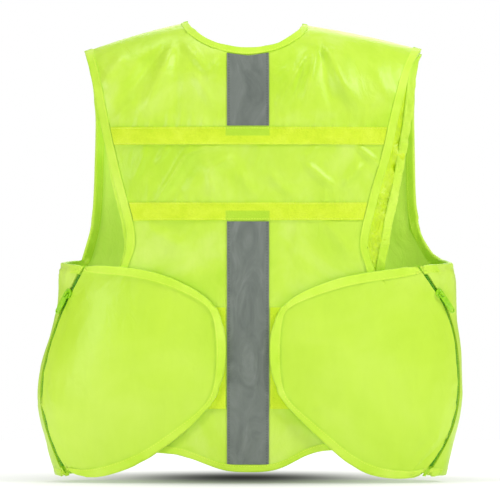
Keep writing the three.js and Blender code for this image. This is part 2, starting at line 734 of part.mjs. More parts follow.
// The front panels run from the front zip round the side to the side zip, and the wings on from
// there. Column 14 is the wing's edge, which only the bindings reach.
const frontRow = { neckEnd: 6, underarm: 9, underBinding: 10, hemBinding: 16, hem: 17 };
const frontColumn = { neckBinding: 1, armBinding: 6, armhole: 7, zip: 13, beyondZip: 14 };
const frontHemZ = -underarmDrop - sideLength * frontHemShare;

// Heights of the rows below the underarm, shared by the front panels, the side zips and the wings
function sideRowZ(row, startZ) {
  const { underarm, underBinding, hemBinding, hem } = frontRow;
  if (row === underarm) return startZ;
  if (row === hem) return frontHemZ;
  const share = (row - underBinding) / (hemBinding - underBinding);
  return mix(startZ - outerBindingWidth, frontHemZ + outerBindingWidth, share);
}

// The front is cut shorter towards its zip, so each row below the underarm rises with the hem.
function raisedZ(x, z) {
  const rise = alongTable(frontHemRows, "across", "rise", Math.abs(x) / (waistWidth / 2));
  return z < -underarmDrop ? mix(z, -underarmDrop, rise) : z;
}

function zipTurn(side, z) {
  const share = (-underarmDrop - z) / sideLength;
  return turnAt(side, "back", alongTable(zipRows, "down", side, share) * halfWidth(side, z, 0), z);
}

function zipEdgeTurn(side, z, distance) {
  return turnAlong(side, zipTurn(side, z), z, distance);
}

function frontNet(side) {
  const { sign, neck, neckRise } = sides[side];
  const { neckEnd, underarm } = frontRow;
  const { neckBinding, armBinding, armhole, zip, beyondZip } = frontColumn;
  const centreX = frontZipWidth / 2 + clearance;
  const neckX = (neck * neckSpan) / 2;
  const crown = (r) => crownDrops[r] * shoulderCrownHeight;
  const lastCrown = crownDrops.length - 1;
  const tip = tipOf(side);

  const innerEdge = (r) => {
    let z;
    if (r <= lastCrown) {
      z = neckRise - crown(r);
    } else if (r <= neckEnd) {
      z = mix(neckRise - crown(lastCrown), -frontNeckDrop, (r - lastCrown) / (neckEnd - lastCrown));
    } else if (r <= underarm) {
      z = mix(-frontNeckDrop, -underarmDrop, (r - neckEnd) / (underarm - neckEnd));
    } else {
      z = sideRowZ(r, -underarmDrop);
    }
    const share = clamp((z + frontNeckDrop) / (neckRise + frontNeckDrop), 0, 1);
    return { x: mix(centreX, neckX, Math.pow(share, 0.8)), z };
  };

  const armEdge = (r) => {
    if (r >= underarm) {
      const z = sideRowZ(r, -underarmDrop + armholeRise);
      const start = alongTable(frontArmholeRows, "down", side, 1) * shoulderSpan / 2;
      return { x: start * halfWidth(side, z, 0) / halfWidth(side, -underarmDrop, 0), z };
    }
    const low = tip.z - crown(Math.min(r, lastCrown));
    const share = clamp((r - lastCrown) / (underarm - lastCrown), 0, 1);
    const z = mix(low, -underarmDrop + armholeRise, share);
    return { x: alongTable(frontArmholeRows, "down", side, armholeShare(side, z)) * shoulderSpan / 2, z };
  };

  const place = (r, c) => {
    const inner = innerEdge(r);
    const arm = armEdge(r);
    if (c > armhole) {
      const share = Math.min((c - armhole) / (zip - armhole), 1);
      const z = sideRowZ(Math.max(r, underarm), mix(-underarmDrop + armholeRise, -underarmDrop, share));
      const start = turnAt(side, "front", arm.x, z);
      const edge = c === beyondZip ? 6 * clearance - zipSlot / 2 : zipSlot / 2;
      return turnPoint(side, mix(start, zipEdgeTurn(side, z, edge), share), z);
    }
    const first = inner.x + neckBindingWidth;
    const last = arm.x - outerBindingWidth;
    let x = mix(first, last, (c - neckBinding) / (armBinding - neckBinding));
    if (c === 0) x = inner.x;
    if (c === armhole) x = arm.x;
    let z = mix(inner.z, arm.z, (x - inner.x) / (arm.x - inner.x));
    if (r <= lastCrown) {
      z = shoulderTop(side, x) - crown(r);
    }
    z = raisedZ(x, z);
    const point = new THREE.Vector3(sign * x, surfaceY("front", sign * x, z, 0), z);
    if (r === 0) {
      point.y += clearance / 2;
    }
    return point;
  };

  const has = (r, c) => c < armhole || (r >= underarm && c < zip);
  const net = makeNet(frontRow.hem + 1, beyondZip + 1, place, has, () => true);
  for (const out of net.normal[0]) {
    out.setY(0).normalize();
  }
  return net;
}

function addFrontPanel(side) {
  const net = frontNet(side);
  const { neckEnd, underarm, underBinding, hemBinding, hem } = frontRow;
  const { neckBinding, armBinding, armhole, beyondZip } = frontColumn;
  addSheet(`front_panel_${side}`, net, 0, -outerThickness, "cloth");
  const bind = (name, chain) => {
    addPiece(`${name}_${side}`, solidGeometry(foldedBinding(net, chain, outerThickness)), "binding");
  };
  bind("front_neck_binding", columnChain(0, neckEnd, 0, neckBinding));
  bind("front_armhole_binding", [
    ...columnChain(0, underarm, armhole, armBinding),
    [[underarm, armhole], [underBinding, armBinding]],
    ...rowChain(armhole, beyondZip, underarm, underBinding),
  ]);
  bind("front_hem_binding", rowChain(0, beyondZip, hem, hemBinding));
}

// A strip along a row range of the front panels, at given distances across it
function stripNet(fromRow, toRow, distances, pointAt) {
  const draw = 2 * clearance;
  const place = (i, j) => {
    const z = sideRowZ(fromRow + i, -underarmDrop);
    const drawn = i === 0 ? z - draw : z;
    return pointAt(fromRow + i === toRow ? z + draw : drawn, distances[j]);
  };
  return makeNet(toRow - fromRow + 1, distances.length, place);
}

function addSideZip(side) {
  const { underBinding, hemBinding } = frontRow;
  const pointAt = (z, distance) => turnPoint(side, zipEdgeTurn(side, z, distance), z);
  const half = teethWidth / 2;
  const across = [-zipTapeWidth / 2, -half, half, zipTapeWidth / 2];
  const tape = stripNet(underBinding, hemBinding, across, pointAt);
  const tapeTop = -outerThickness - 3 * clearance;
  addSheet(`side_zip_tape_${side}`, tape, tapeTop, tapeTop - zipTapeThickness, "zip");
  const teeth = stripNet(underBinding, hemBinding, [-half, half], pointAt);
  teeth.normal = tape.normal.map((row) => [row[1], row[2]]);
  addSheet(`side_zip_teeth_${side}`, teeth, teethRise, tapeTop + clearance, "zip");
}

function addFrontZip() {
  const rows = frontRow.hem - frontRow.neckEnd;
  const across = [-frontZipWidth / 2, -teethWidth / 2, teethWidth / 2, frontZipWidth / 2];
  const place = (i, j) => {
    const row = frontRow.neckEnd + i;
    const down = (row - frontRow.neckEnd) / (frontRow.underarm - frontRow.neckEnd);
    const upper = mix(-frontNeckDrop - (i === 0 ? 2 * clearance : 0), -underarmDrop, down);
    const z = row < frontRow.underarm ? upper : raisedZ(across[j], sideRowZ(row, -underarmDrop));
    return new THREE.Vector3(across[j], surfaceY("front", across[j], z, 0), z);
  };
  const net = makeNet(rows + 1, across.length, place);
  const top = (r, c) => (c === 1 || c === 2 ? teethRise : frontZipThickness - outerThickness);
  addPiece("front_zip", solidGeometry(sheet(net, top, () => -outerThickness)), "zip");
}

// A wing is stretched between its four edges: the zip, the top, the nose and the bottom.
const wingRow = { last: 8 };
const wingColumn = { binding: 8, last: 9 };

function wingNet(side) {
  const edge = side === "left" ? "Left" : "Right";
  const toTurn = (x, z) => new THREE.Vector2(turnAt(side, "back", x, z), z);
  const drop = (share) => -underarmDrop - share * sideLength;
  const cornerX = noseShare * waistWidth / 2;
  const zipSide = (z) => new THREE.Vector2(zipEdgeTurn(side, z, -zipSlot / 2), z);
  const startX = (z) => Math.abs(turnPoint(side, zipSide(z).x, z).x);
  const along = (column, z0) => (share) => {
    const x = mix(startX(z0), cornerX, share);
    const z = drop(alongTable(wingEdgeRows, "across", column, x / (waistWidth / 2)));
    return share === 0 ? zipSide(z0) : toTurn(x, z);
  };
  const top = along(`top${edge}`, -underarmDrop);
  const bottom = along(`bottom${edge}`, frontHemZ);
  const nose = (share) => {
    const down = mix(noseRows[0].down, noseRows[noseRows.length - 1].down, share);
    const z = drop(down);
    return toTurn(alongTable(noseRows, "down", side, down) * waistWidth / 2, z);
  };
  const rowShare = (i, k) => {
    const height = top(k).y - bottom(k).y;
    const first = outerBindingWidth / height;
    if (i === 0) return 0;
    if (i === wingRow.last) return 1;
    return mix(first, 1 - first, (i - 1) / (wingRow.last - 2));
  };
  const columnShare = (j, width) => {
    if (j === wingColumn.last) return 1;
    return mix(0, 1 - outerBindingWidth / width, j / wingColumn.binding);
  };
  const place = (i, j) => {
    const z = sideRowZ(frontRow.underarm + i, -underarmDrop);
    const tip = nose(i / wingRow.last);
    const width = startX(z) - Math.abs(turnPoint(side, tip.x, tip.y).x);
    const k = columnShare(j, width);
    const r = rowShare(i, k);
    const left = zipSide(z);
    const right = nose(rowShare(i, 1));
    const point = top(k).multiplyScalar(1 - r).addScaledVector(bottom(k), r);
    point.addScaledVector(left, 1 - k).addScaledVector(right, k);
    point.addScaledVector(top(0), -(1 - r) * (1 - k)).addScaledVector(top(1), -(1 - r) * k);
    point.addScaledVector(bottom(0), -r * (1 - k)).addScaledVector(bottom(1), -r * k);
    return turnPoint(side, point.x, point.y);
  };
  return makeNet(wingRow.last + 1, wingColumn.last + 1, place, () => true, (r) => r < wingRow.last / 2);
}

function addWing(side) {
  const net = wingNet(side);
  const { last } = wingRow;
  const ramp = (steps) => Math.sin(clamp(steps, 0, 1) * Math.PI / 2);
  const bump = (r, c) => ramp((r - 1) / 2.5) * ramp((last - 1 - r) / 2.5)
    * ramp(c / 4) * ramp((wingColumn.binding - c) / 2.5);
  const wing = sheet(net, (r, c) => wingCrown * bump(r, c), () => -outerThickness);
  addPiece(`wing_${side}`, solidGeometry(wing), "cloth");
  const { binding } = wingColumn;
  const chain = [
    ...rowChain(0, binding, 0, 1),
    [[0, wingColumn.last], [1, binding]],
    ...columnChain(1, last - 1, wingColumn.last, binding),
    [[last, wingColumn.last], [last - 1, binding]],
    ...rowChain(binding, 0, last, last - 1),
  ];
  addPiece(`wing_binding_${side}`, solidGeometry(foldedBinding(net, chain, outerThickness)), "binding");
}

const wasm = await Module();
wasm.setup();

function toManifold(geometry) {
  const bare = geometry.clone();
  bare.deleteAttribute("normal");
  bare.deleteAttribute("uv");
  const merged = mergeVertices(bare);
  const vertProperties = merged.attributes.position.array;
  const triVerts = new Uint32Array(merged.index.array);
  return new wasm.Manifold(new wasm.Mesh({ numProp: 3, vertProperties, triVerts }));
}

function fromManifold(solid) {
  const { vertProperties, triVerts } = solid.getMesh();
  const geometry = new THREE.BufferGeometry();
  geometry.setAttribute("position", new THREE.BufferAttribute(vertProperties, 3));
  geometry.setIndex(new THREE.BufferAttribute(triVerts, 1));
  geometry.computeVertexNormals();
  return geometry;
}

// The slider stands on the teeth, with a bridge that its pull turns under.
// Its own axes are X across the zip, Y up along it and Z out from the cloth.
const plateFoot = teethRise + clearance;
const hingeHeight = plateFoot + sliderPlate + bridgeHeight / 2;

function sliderGeometry() {
  const outline = new THREE.Shape();
  const round = sliderWidth / 2;
  outline.absarc(0, sliderLength / 2 - round, round, 0, Math.PI);
  outline.absarc(0, round - sliderLength / 2, round, Math.PI, 2 * Math.PI);
  const plateDepth = { depth: sliderPlate, bevelEnabled: false, curveSegments: 8 };
  const plate = new THREE.ExtrudeGeometry(outline, plateDepth);
  plate.translate(0, 0, plateFoot);
  const reach = bridgeWindow / 2 + bridgeBar;
  const bridge = new THREE.Shape();
  bridge.moveTo(-reach, -sliderPlate / 2);
  bridge.lineTo(reach, -sliderPlate / 2);
  bridge.lineTo(reach, bridgeHeight);
  bridge.lineTo(reach - bridgeBar, bridgeHeight + bridgeBar);
  bridge.lineTo(bridgeBar - reach, bridgeHeight + bridgeBar);
  bridge.lineTo(-reach, bridgeHeight);
  const opening = new THREE.Path();
  opening.moveTo(-bridgeWindow / 2, 0);
  opening.lineTo(-bridgeWindow / 2, bridgeHeight);
  opening.lineTo(bridgeWindow / 2, bridgeHeight);
  opening.lineTo(bridgeWindow / 2, 0);
  bridge.holes.push(opening);
  const arch = new THREE.ExtrudeGeometry(bridge, { depth: bridgeWidth, bevelEnabled: false });
  arch.translate(0, 0, -bridgeWidth / 2);
  arch.rotateX(Math.PI / 2);
  arch.rotateZ(Math.PI / 2);
  arch.translate(0, 0, plateFoot + sliderPlate);
  return fromManifold(toManifold(plate).add(toManifold(arch)));
}

function pullGeometry() {
  const corner = Math.hypot(bridgeWindow / 2 + bridgeBar, bridgeHeight / 2 + bridgeBar);
  const slotEnd = corner + pullSlotClearance;
  const slotHalf = bridgeWidth / 2 + pullSlotClearance;
  const outline = new THREE.Shape();
  const half = pullWidth / 2;
  const foot = pullBar / 2 - pullLength;
  outline.moveTo(half, pullBar / 2);
  outline.lineTo(-half, pullBar / 2);
  outline.lineTo(-half, foot + half);
  outline.absarc(0, foot + half, half, Math.PI, 2 * Math.PI);
  outline.lineTo(half, pullBar / 2);
  const slot = new THREE.Path();
  slot.moveTo(-slotHalf, -pullBar / 2);
  slot.lineTo(slotHalf, -pullBar / 2);
  slot.lineTo(slotHalf, -slotEnd);
  slot.lineTo(-slotHalf, -slotEnd);
  const hole = new THREE.Path();
  hole.absarc(0, foot + half, pullHole / 2, 0, 2 * Math.PI);
  outline.holes.push(slot, hole);
  const pullDepth = { depth: pullThickness, bevelEnabled: false, curveSegments: 8 };
  const pull = new THREE.ExtrudeGeometry(outline, pullDepth);
  pull.translate(0, 0, -pullThickness / 2);
  return fromManifold(toManifold(pull));
}

// It is seated on the straight run of teeth between the two rows that it lies between.
function addSlider(side) {
  const z = -underarmDrop - sliderDrop;
  const { underBinding, hemBinding } = frontRow;
  let row = underBinding;
  while (row < hemBinding - 1 && sideRowZ(row + 1, -underarmDrop) > z) {
    row += 1;
  }
  const [highZ, lowZ] = [sideRowZ(row, -underarmDrop), sideRowZ(row + 1, -underarmDrop)];
  const edgePoint = (height, distance) => turnPoint(side, zipEdgeTurn(side, height, distance), height);
  const half = teethWidth / 2;
  const middle = (height) => edgePoint(height, -half).add(edgePoint(height, half)).multiplyScalar(0.5);
  const [high, low] = [middle(highZ), middle(lowZ)];
  const along = high.clone().sub(low).normalize();
  const over = edgePoint(highZ, half).sub(edgePoint(highZ, -half));
  over.add(edgePoint(lowZ, half)).sub(edgePoint(lowZ, -half));
  const out = over.cross(along).normalize();
  if (out.y > 0) out.negate();
  const across = along.clone().cross(out);
  const holder = new THREE.Group();
  holder.position.copy(low).lerp(high, (z - lowZ) / (highZ - lowZ));
  holder.quaternion.setFromRotationMatrix(new THREE.Matrix4().makeBasis(across, along, out));
  vest.add(holder);
  addPiece(`zip_slider_${side}`, sliderGeometry(), "zipMetal", holder);
  const pull = addPiece(`zip_pull_${side}`, pullGeometry(), "zipMetal", holder);
  pull.position.z = hingeHeight;
}

addBackPieces();
addFrontZip();
for (const side of Object.keys(sides)) {
  addFrontPanel(side);
  addSideZip(side);
  addWing(side);
  addSlider(side);
}

export default vest;
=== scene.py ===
import math
from itertools import combinations

import bmesh
import bpy
import numpy as np
from mathutils import Matrix, Vector, noise
from mathutils.kdtree import KDTree


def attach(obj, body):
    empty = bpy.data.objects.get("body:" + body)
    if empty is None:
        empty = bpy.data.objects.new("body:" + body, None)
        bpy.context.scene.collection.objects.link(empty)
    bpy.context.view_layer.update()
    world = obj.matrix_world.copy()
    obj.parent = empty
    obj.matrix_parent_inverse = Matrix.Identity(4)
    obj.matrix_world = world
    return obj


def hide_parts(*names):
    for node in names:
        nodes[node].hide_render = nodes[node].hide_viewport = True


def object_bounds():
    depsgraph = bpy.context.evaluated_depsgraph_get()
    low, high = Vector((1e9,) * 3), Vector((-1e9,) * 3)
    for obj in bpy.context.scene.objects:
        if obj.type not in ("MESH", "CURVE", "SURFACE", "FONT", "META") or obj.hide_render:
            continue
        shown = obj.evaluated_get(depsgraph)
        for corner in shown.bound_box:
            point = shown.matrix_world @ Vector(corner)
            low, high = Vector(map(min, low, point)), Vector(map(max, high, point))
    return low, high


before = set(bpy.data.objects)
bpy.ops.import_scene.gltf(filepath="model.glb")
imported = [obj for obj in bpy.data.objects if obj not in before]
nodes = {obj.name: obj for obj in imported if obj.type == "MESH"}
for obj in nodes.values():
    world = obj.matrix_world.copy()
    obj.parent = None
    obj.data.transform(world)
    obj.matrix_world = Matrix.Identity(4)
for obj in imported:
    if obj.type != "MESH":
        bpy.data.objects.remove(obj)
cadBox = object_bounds()
mm = 0.001
sides = ("left", "right")
plainWhite = (1, 1, 1, 1)
print("frame loaded,", len(nodes), "nodes")

view = {
    "centre": (0.0024, -0.03, -0.2667),  # the middle of the picture
    "width": 0.590,  # metres across the picture there
    "lens": 480,
    "sensor": 36,
    "reach": 30,
}


def addCamera():
    data = bpy.data.cameras.new("viewCamera")
    data.lens = view["lens"]
    data.sensor_width = view["sensor"]
    data.clip_end = view["reach"]
    camera = bpy.data.objects.new("viewCamera", data)
    bpy.context.scene.collection.objects.link(camera)
    x, y, z = view["centre"]
    away = view["width"] * view["lens"] / view["sensor"]
    camera.location = (x, y - away, z)
    camera.rotation_euler = (math.radians(90), 0, 0)
    bpy.context.scene.camera = camera


def linear(*screen):
    # a colour as read from a screen, 0 to 255, to Blender's own
    shares = [c / 255 for c in screen]
    return (*(((c + 0.055) / 1.055) ** 2.4 if c > 0.04 else c / 12.92 for c in shares), 1)


class Finish:
    # a small helper that keeps one material's nodes together
    def __init__(self, name):
        self.material = bpy.data.materials.new(name)
        self.material.use_nodes = True
        self.tree = self.material.node_tree
        self.shader = self.tree.nodes["Principled BSDF"]
        self.place = self.add("ShaderNodeTexCoord").outputs["Object"]

    def add(self, kind, **settings):
        node = self.tree.nodes.new(kind)
        for key, value in settings.items():
            setattr(node, key, value)
        return node

    def link(self, a, b):
        self.tree.links.new(a, b)

    def mapped(self, scale, turn=(0, 0, 0)):
        node = self.add("ShaderNodeMapping")
        node.inputs["Scale"].default_value = scale
        node.inputs["Rotation"].default_value = turn
        self.link(self.place, node.inputs["Vector"])
        return node.outputs["Vector"]

    def clouds(self, scale, detail=3, roughness=0.5, stretch=(1, 1, 1), turn=(0, 0, 0), warp=0):
        node = self.add("ShaderNodeTexNoise")
        node.inputs["Scale"].default_value = scale
        node.inputs["Detail"].default_value = detail
        node.inputs["Roughness"].default_value = roughness
        node.inputs["Distortion"].default_value = warp
        self.link(self.mapped(stretch, turn), node.inputs["Vector"])
        return node.outputs["Fac"]

    def ribs(self, period, direction="X", profile="SIN", warp=0, turn=(0, 0, 0)):
        # ribs that repeat every period metres; at scale 1 there are 3.1831 of them to a metre
        node = self.add("ShaderNodeTexWave", wave_type="BANDS", bands_direction=direction)
        node.wave_profile = profile
        node.inputs["Scale"].default_value = 1 / (period * 3.1831)
        node.inputs["Distortion"].default_value = warp
        node.inputs["Detail"].default_value = 0
        self.link(self.mapped((1, 1, 1), turn), node.inputs["Vector"])
        return node.outputs["Fac"]

    def ramp(self, value, stops):
        node = self.add("ShaderNodeValToRGB")
        while len(node.color_ramp.elements) < len(stops):
            node.color_ramp.elements.new(0.5)
        for element, (at, colour) in zip(node.color_ramp.elements, stops):
            element.position = at
            element.color = colour
        self.link(value, node.inputs["Fac"])
        return node.outputs["Color"]

    def tones(self, value, look, *places):
        # the look's colours, deep to light, at these places of the value
        names = ("deep", "base", "light") if len(places) == 3 else ("deep", "light")
        return self.ramp(value, [(at, linear(*look[name])) for at, name in zip(places, names)])

    def blend(self, kind, a, b, share):
        node = self.add("ShaderNodeMix", data_type="RGBA", blend_type=kind)
        if isinstance(share, (int, float)):
            node.inputs[0].default_value = share
        else:
            self.link(share, node.inputs[0])
        for value, socket in ((a, node.inputs[6]), (b, node.inputs[7])):
            if isinstance(value, tuple):
                socket.default_value = value
            else:
                self.link(value, socket)
        return node.outputs[2]

    def calc(self, kind, a, b):
        node = self.add("ShaderNodeMath", operation=kind)
        for value, socket in ((a, node.inputs[0]), (b, node.inputs[1])):
            if isinstance(value, (int, float)):
                socket.default_value = value
            else:
                self.link(value, socket)
        return node.outputs[0]

    def window(self, axis, low, high, soft):
        # 1 between two places along an axis, 0 outside
        split = self.add("ShaderNodeSeparateXYZ")
        self.link(self.place, split.inputs[0])
        shares = []
        for start, end in ((low - soft, low + soft), (high + soft, high - soft)):
            node = self.add("ShaderNodeMapRange", interpolation_type="SMOOTHSTEP")
            node.inputs["From Min"].default_value = start
            node.inputs["From Max"].default_value = end
            self.link(split.outputs[axis], node.inputs["Value"])
            shares.append(node.outputs["Result"])
        return self.calc("MULTIPLY", *shares)

    def relief(self, layers):
        # layers: a list of (height, strength, depth in metres), coarse first
        normal = None
        for height, strength, depth in layers:
            node = self.add("ShaderNodeBump")
            node.inputs["Strength"].default_value = strength
            node.inputs["Distance"].default_value = depth
            self.link(height, node.inputs["Height"])
            if normal is not None:
                self.link(normal, node.inputs["Normal"])
            normal = node.outputs["Normal"]
        self.link(normal, self.shader.inputs["Normal"])

    def colour(self, value):
        self.link(value, self.shader.inputs["Base Color"])

    def set(self, **values):
        for key, value in values.items():
            self.shader.inputs[key.replace("_", " ")].default_value = value


studio = {
    "floorDrop": 0.004,  # below the hem
    "floorRadius": 1.7,
    "floorSides": 96,
    "floorWhite": 0.6,
    "floorGlow": 0.55,  # keeps the pale floor as light as the backdrop
    "skyLight": 0.36,
    "screenGamma": 2.2,  # the shades are given as the eye sees them
    "shades": [
        # soft shade under the vest: middle x, y, reach x, y, how dark
        (-0.007, 0.14, 0.085, 0.125, 0.72),
        (0.0, 0.06, 0.17, 0.14, 0.22),
    ],
    "lamps": [
        # name, place, aim, size, watts
        ("keyLamp", (1.5, -0.9, 1.2), (0, 0, -0.25), 0.5, 21),
        ("fillLamp", (-1.7, -1.5, 0.2), (0, 0, -0.35), 0.5, 12),
        ("lowLamp", (0.6, -2.2, -0.4), (0, 0, -0.5), 0.9, 4),
        ("topLamp", (-0.5, -0.3, 2.1), (0, 0, -0.2), 0.8, 15),
        ("rearLamp", (0.4, 2.2, 0.9), (0, 0, -0.3), 1.8, 26),
    ],
}


def addWorld():
    # white where it is seen, softer where it lights the cloth
    world = bpy.data.worlds.new("paleWorld")
    bpy.context.scene.world = world
    world.use_nodes = True
    tree = world.node_tree
    back = tree.nodes["Background"]
    back.inputs["Color"].default_value = plainWhite
    back.inputs["Strength"].default_value = studio["skyLight"]
    seen = tree.nodes.new("ShaderNodeBackground")
    seen.inputs["Color"].default_value = plainWhite
    path = tree.nodes.new("ShaderNodeLightPath")
    either = tree.nodes.new("ShaderNodeMixShader")
    tree.links.new(path.outputs["Is Camera Ray"], either.inputs[0])
    tree.links.new(back.outputs[0], either.inputs[1])
    tree.links.new(seen.outputs[0], either.inputs[2])
    tree.links.new(either.outputs[0], tree.nodes["World Output"].inputs["Surface"])


def floorMaterial():
    f = Finish("paleFloor")
    light = None
    for x, y, reachX, reachY, dark in studio["shades"]:
        place = f.add("ShaderNodeMapping")
        place.inputs["Location"].default_value = (-x / reachX, -y / reachY, 0)
        place.inputs["Scale"].default_value = (1 / reachX, 1 / reachY, 0)
        f.link(f.place, place.inputs["Vector"])
        away = f.add("ShaderNodeVectorMath", operation="LENGTH")
        f.link(place.outputs["Vector"], away.inputs[0])
        # a bell curve: the root of 1/e to the power of the distance squared
        fall = f.calc("POWER", math.exp(-0.5), f.calc("POWER", away.outputs["Value"], 2))
        left = f.calc("SUBTRACT", 1, f.calc("MULTIPLY", fall, dark))
        light = left if light is None else f.calc("MULTIPLY", light, left)
    light = f.calc("POWER", light, studio["screenGamma"])
    white, glow = studio["floorWhite"], studio["floorGlow"]
    f.colour(f.blend("MIX", (0, 0, 0, 1), (white, white, white, 1), light))
    f.link(f.calc("MULTIPLY", light, glow), f.shader.inputs["Emission Strength"])
    f.set(Roughness=0.9, Emission_Color=plainWhite, Specular_IOR_Level=0)
    return f.material


def addStudio():
    scene = bpy.context.scene
    scene.view_settings.view_transform = "Standard"
    addWorld()
    mesh = bpy.data.meshes.new("floor")
    bm = bmesh.new()
    bmesh.ops.create_circle(
        bm, cap_ends=True, segments=studio["floorSides"], radius=studio["floorRadius"]
    )
    bmesh.ops.translate(bm, verts=bm.verts, vec=(0, 0, cadBox[0].z - studio["floorDrop"]))
    bm.to_mesh(mesh)
    bm.free()
    mesh.materials.append(floorMaterial())
    floor = bpy.data.objects.new("floor", mesh)
    scene.collection.objects.link(floor)
    for name, place, aim, size, watts in studio["lamps"]:
        data = bpy.data.lights.new(name, "AREA")
        data.size = size
        data.energy = watts
        lamp = bpy.data.objects.new(name, data)
        scene.collection.objects.link(lamp)
        lamp.location = place
        turn = Vector(aim) - Vector(place)
        lamp.rotation_euler = turn.to_track_quat("-Z", "Y").to_euler()


addCamera()
addStudio()
print("camera and studio made")


threadStep = {
    # metres from one thread, rib or bead to the next
    "satin": 0.0008,
    "ribbon": 0.0011,
    "beads": 0.0012,
    "twill": 0.0009,
}


def weave(f, period):
    # plain weave: threads over and under each other
    return f.calc("MULTIPLY", f.ribs(period, "X"), f.ribs(period, "Z"))


def satin(name, look):
    # thin coated cloth: soft sheen, small crinkles, and a fine weave
    f = Finish(name)
    # the tones vary at random: the deep tone is painted shade and the whitish light tone painted
    # sheen
    broad = f.clouds(look["broad"], detail=4, roughness=0.55, warp=0.4)
    # the streaks darken the colour in long strokes, as painted shade
    streaks = f.clouds(
        26, detail=5, roughness=0.6, stretch=(1.5, 1, 0.55), turn=(0, 0.35, 0), warp=0.8
    )
    grain = f.ramp(streaks, [(0.34, (0.9, 0.93, 0.82, 1)), (0.66, plainWhite)])
    f.colour(f.blend("MULTIPLY", f.tones(broad, look, 0.32, 0.5, 0.7), grain, look["streaks"]))
    crinkle = f.clouds(
        34, detail=5, roughness=0.55, stretch=(1.3, 1, 0.7), turn=(0, 0.3, 0), warp=1.4
    )
    small = f.clouds(140, warp=0.8)
    f.relief([
        (crinkle, look["crinkle"], 0.004),
        (small, look["crinkle"] * 0.5, 0.001),
        (weave(f, threadStep["satin"]), 0.15, 0.0002),
    ])
    f.set(
        Roughness=look["rough"], Sheen_Weight=look["sheen"], Sheen_Roughness=0.35,
        Sheen_Tint=linear(*look["light"]), Specular_IOR_Level=look["gloss"],
        # a painted glow, for the looks that have one
        Emission_Color=linear(*look["base"]), Emission_Strength=look.get("glow", 0),
    )
    return f.material


def ribbon(name, look):
    # bias binding and thread: a fine rib across and along
    f = Finish(name)
    tone = f.tones(f.clouds(24), look, 0.32, 0.55, 0.75)
    period = threadStep["ribbon"]
    ribs = f.calc("ADD", f.ribs(period, "DIAGONAL"), f.ribs(period, "Z"))
    grain = f.ramp(ribs, [(0.2, (0.93, 0.95, 0.86, 1)), (1, plainWhite)])
    f.colour(f.blend("MULTIPLY", tone, grain, 0.6))
    f.relief([(f.clouds(90, warp=0.6), 0.3, 0.0012), (ribs, 0.25, 0.00025)])
    f.set(Roughness=0.55, Sheen_Weight=0.25, Sheen_Roughness=0.4, Specular_IOR_Level=0.3)
    return f.material


stripUnder = {
    # where the reflective strip's ends lie under the bands, in metres
    "across": (-0.0262, 0.0255),
    "upper": (-0.1325, -0.1205),
    "lower": (-0.2335, -0.2205),
    "soft": 0.0012,
    "share": 0.75,  # how much of the darker colour shows
}


def pile(name, look):
    # looped pile: a dense fuzz, darker green where it lies over the strip's ends
    f = Finish(name)
    tufts = f.add("ShaderNodeTexVoronoi", feature="SMOOTH_F1")
    tufts.inputs["Scale"].default_value = look["tufts"]
    f.link(f.mapped((1, 0.6, 1)), tufts.inputs["Vector"])
    tuft = tufts.outputs["Distance"]
    fuzz = f.clouds(look["fuzz"], roughness=0.7)
    patches = f.clouds(60, detail=4, roughness=0.6)
    specks = f.ramp(tuft, [(0.1, plainWhite), (0.75, (0.84, 0.9, 0.6, 1))])
    fluffy = f.blend("MULTIPLY", f.tones(patches, look, 0.3, 0.5, 0.7), specks, 0.5)
    soft = stripUnder["soft"]
    across = f.window("X", *stripUnder["across"], soft)
    low = f.calc("MULTIPLY", across, f.window("Z", *stripUnder["lower"], soft))
    high = f.calc("MULTIPLY", across, f.window("Z", *stripUnder["upper"], soft))
    under = f.calc("MULTIPLY", f.calc("ADD", low, high), stripUnder["share"])
    f.colour(f.blend("MIX", fluffy, linear(*look["under"]), under))
    f.relief([(patches, 0.3, 0.0015), (tuft, 0.7, 0.0007), (fuzz, 0.5, 0.0004)])
    f.set(Roughness=0.85, Sheen_Weight=0.6, Sheen_Roughness=0.5, Specular_IOR_Level=0.2)
    return f.material


def reflectiveTape(name, look):
    # glass-bead tape: grey, slightly metallic, with a faint marbling and a fine grid of dots
    f = Finish(name)
    marble = f.clouds(22, detail=5, roughness=0.6, stretch=(1.6, 1, 0.7), warp=2.2)
    beads = weave(f, threadStep["beads"])
    grain = f.ramp(beads, [(0, (0.9, 0.9, 0.9, 1)), (0.8, plainWhite)])
    f.colour(f.blend("MULTIPLY", f.tones(marble, look, 0.3, 0.52, 0.72), grain, 0.7))
    f.relief([
        (marble, 0.22, 0.004),
        (f.clouds(70, warp=0.8), 0.22, 0.0012),
        (beads, 0.3, 0.0002),
    ])
    f.set(Metallic=0.25, Roughness=0.5, Specular_IOR_Level=0.5)
    return f.material


def twill(name, look):
    # zip tape: tight slanting ribs
    f = Finish(name)
    ribs = f.ribs(threadStep["twill"], "DIAGONAL")
    grain = f.ramp(ribs, [(0, (0.8, 0.86, 0.7, 1)), (0.7, plainWhite)])
    f.colour(f.blend("MULTIPLY", f.tones(f.clouds(60), look, 0.3, 0.7), grain, 0.6))
    f.relief([(ribs, 0.4, 0.0003)])
    f.set(Roughness=0.7, Sheen_Weight=0.2, Specular_IOR_Level=0.3)
    return f.material


def paint(name, look):
    # moulded or painted zip pieces: a thin glossy coat, lighter and darker in small random patches
    f = Finish(name)
    blotches = f.clouds(190, detail=4, roughness=0.6)
    f.colour(f.tones(blotches, look, 0.3, 0.6, 0.78))
    f.relief([(f.clouds(420), 0.15, 0.0003)])
    f.set(Roughness=look["rough"], Specular_IOR_Level=0.5, Coat_Weight=0.4, Coat_Roughness=0.2)
    return f.material


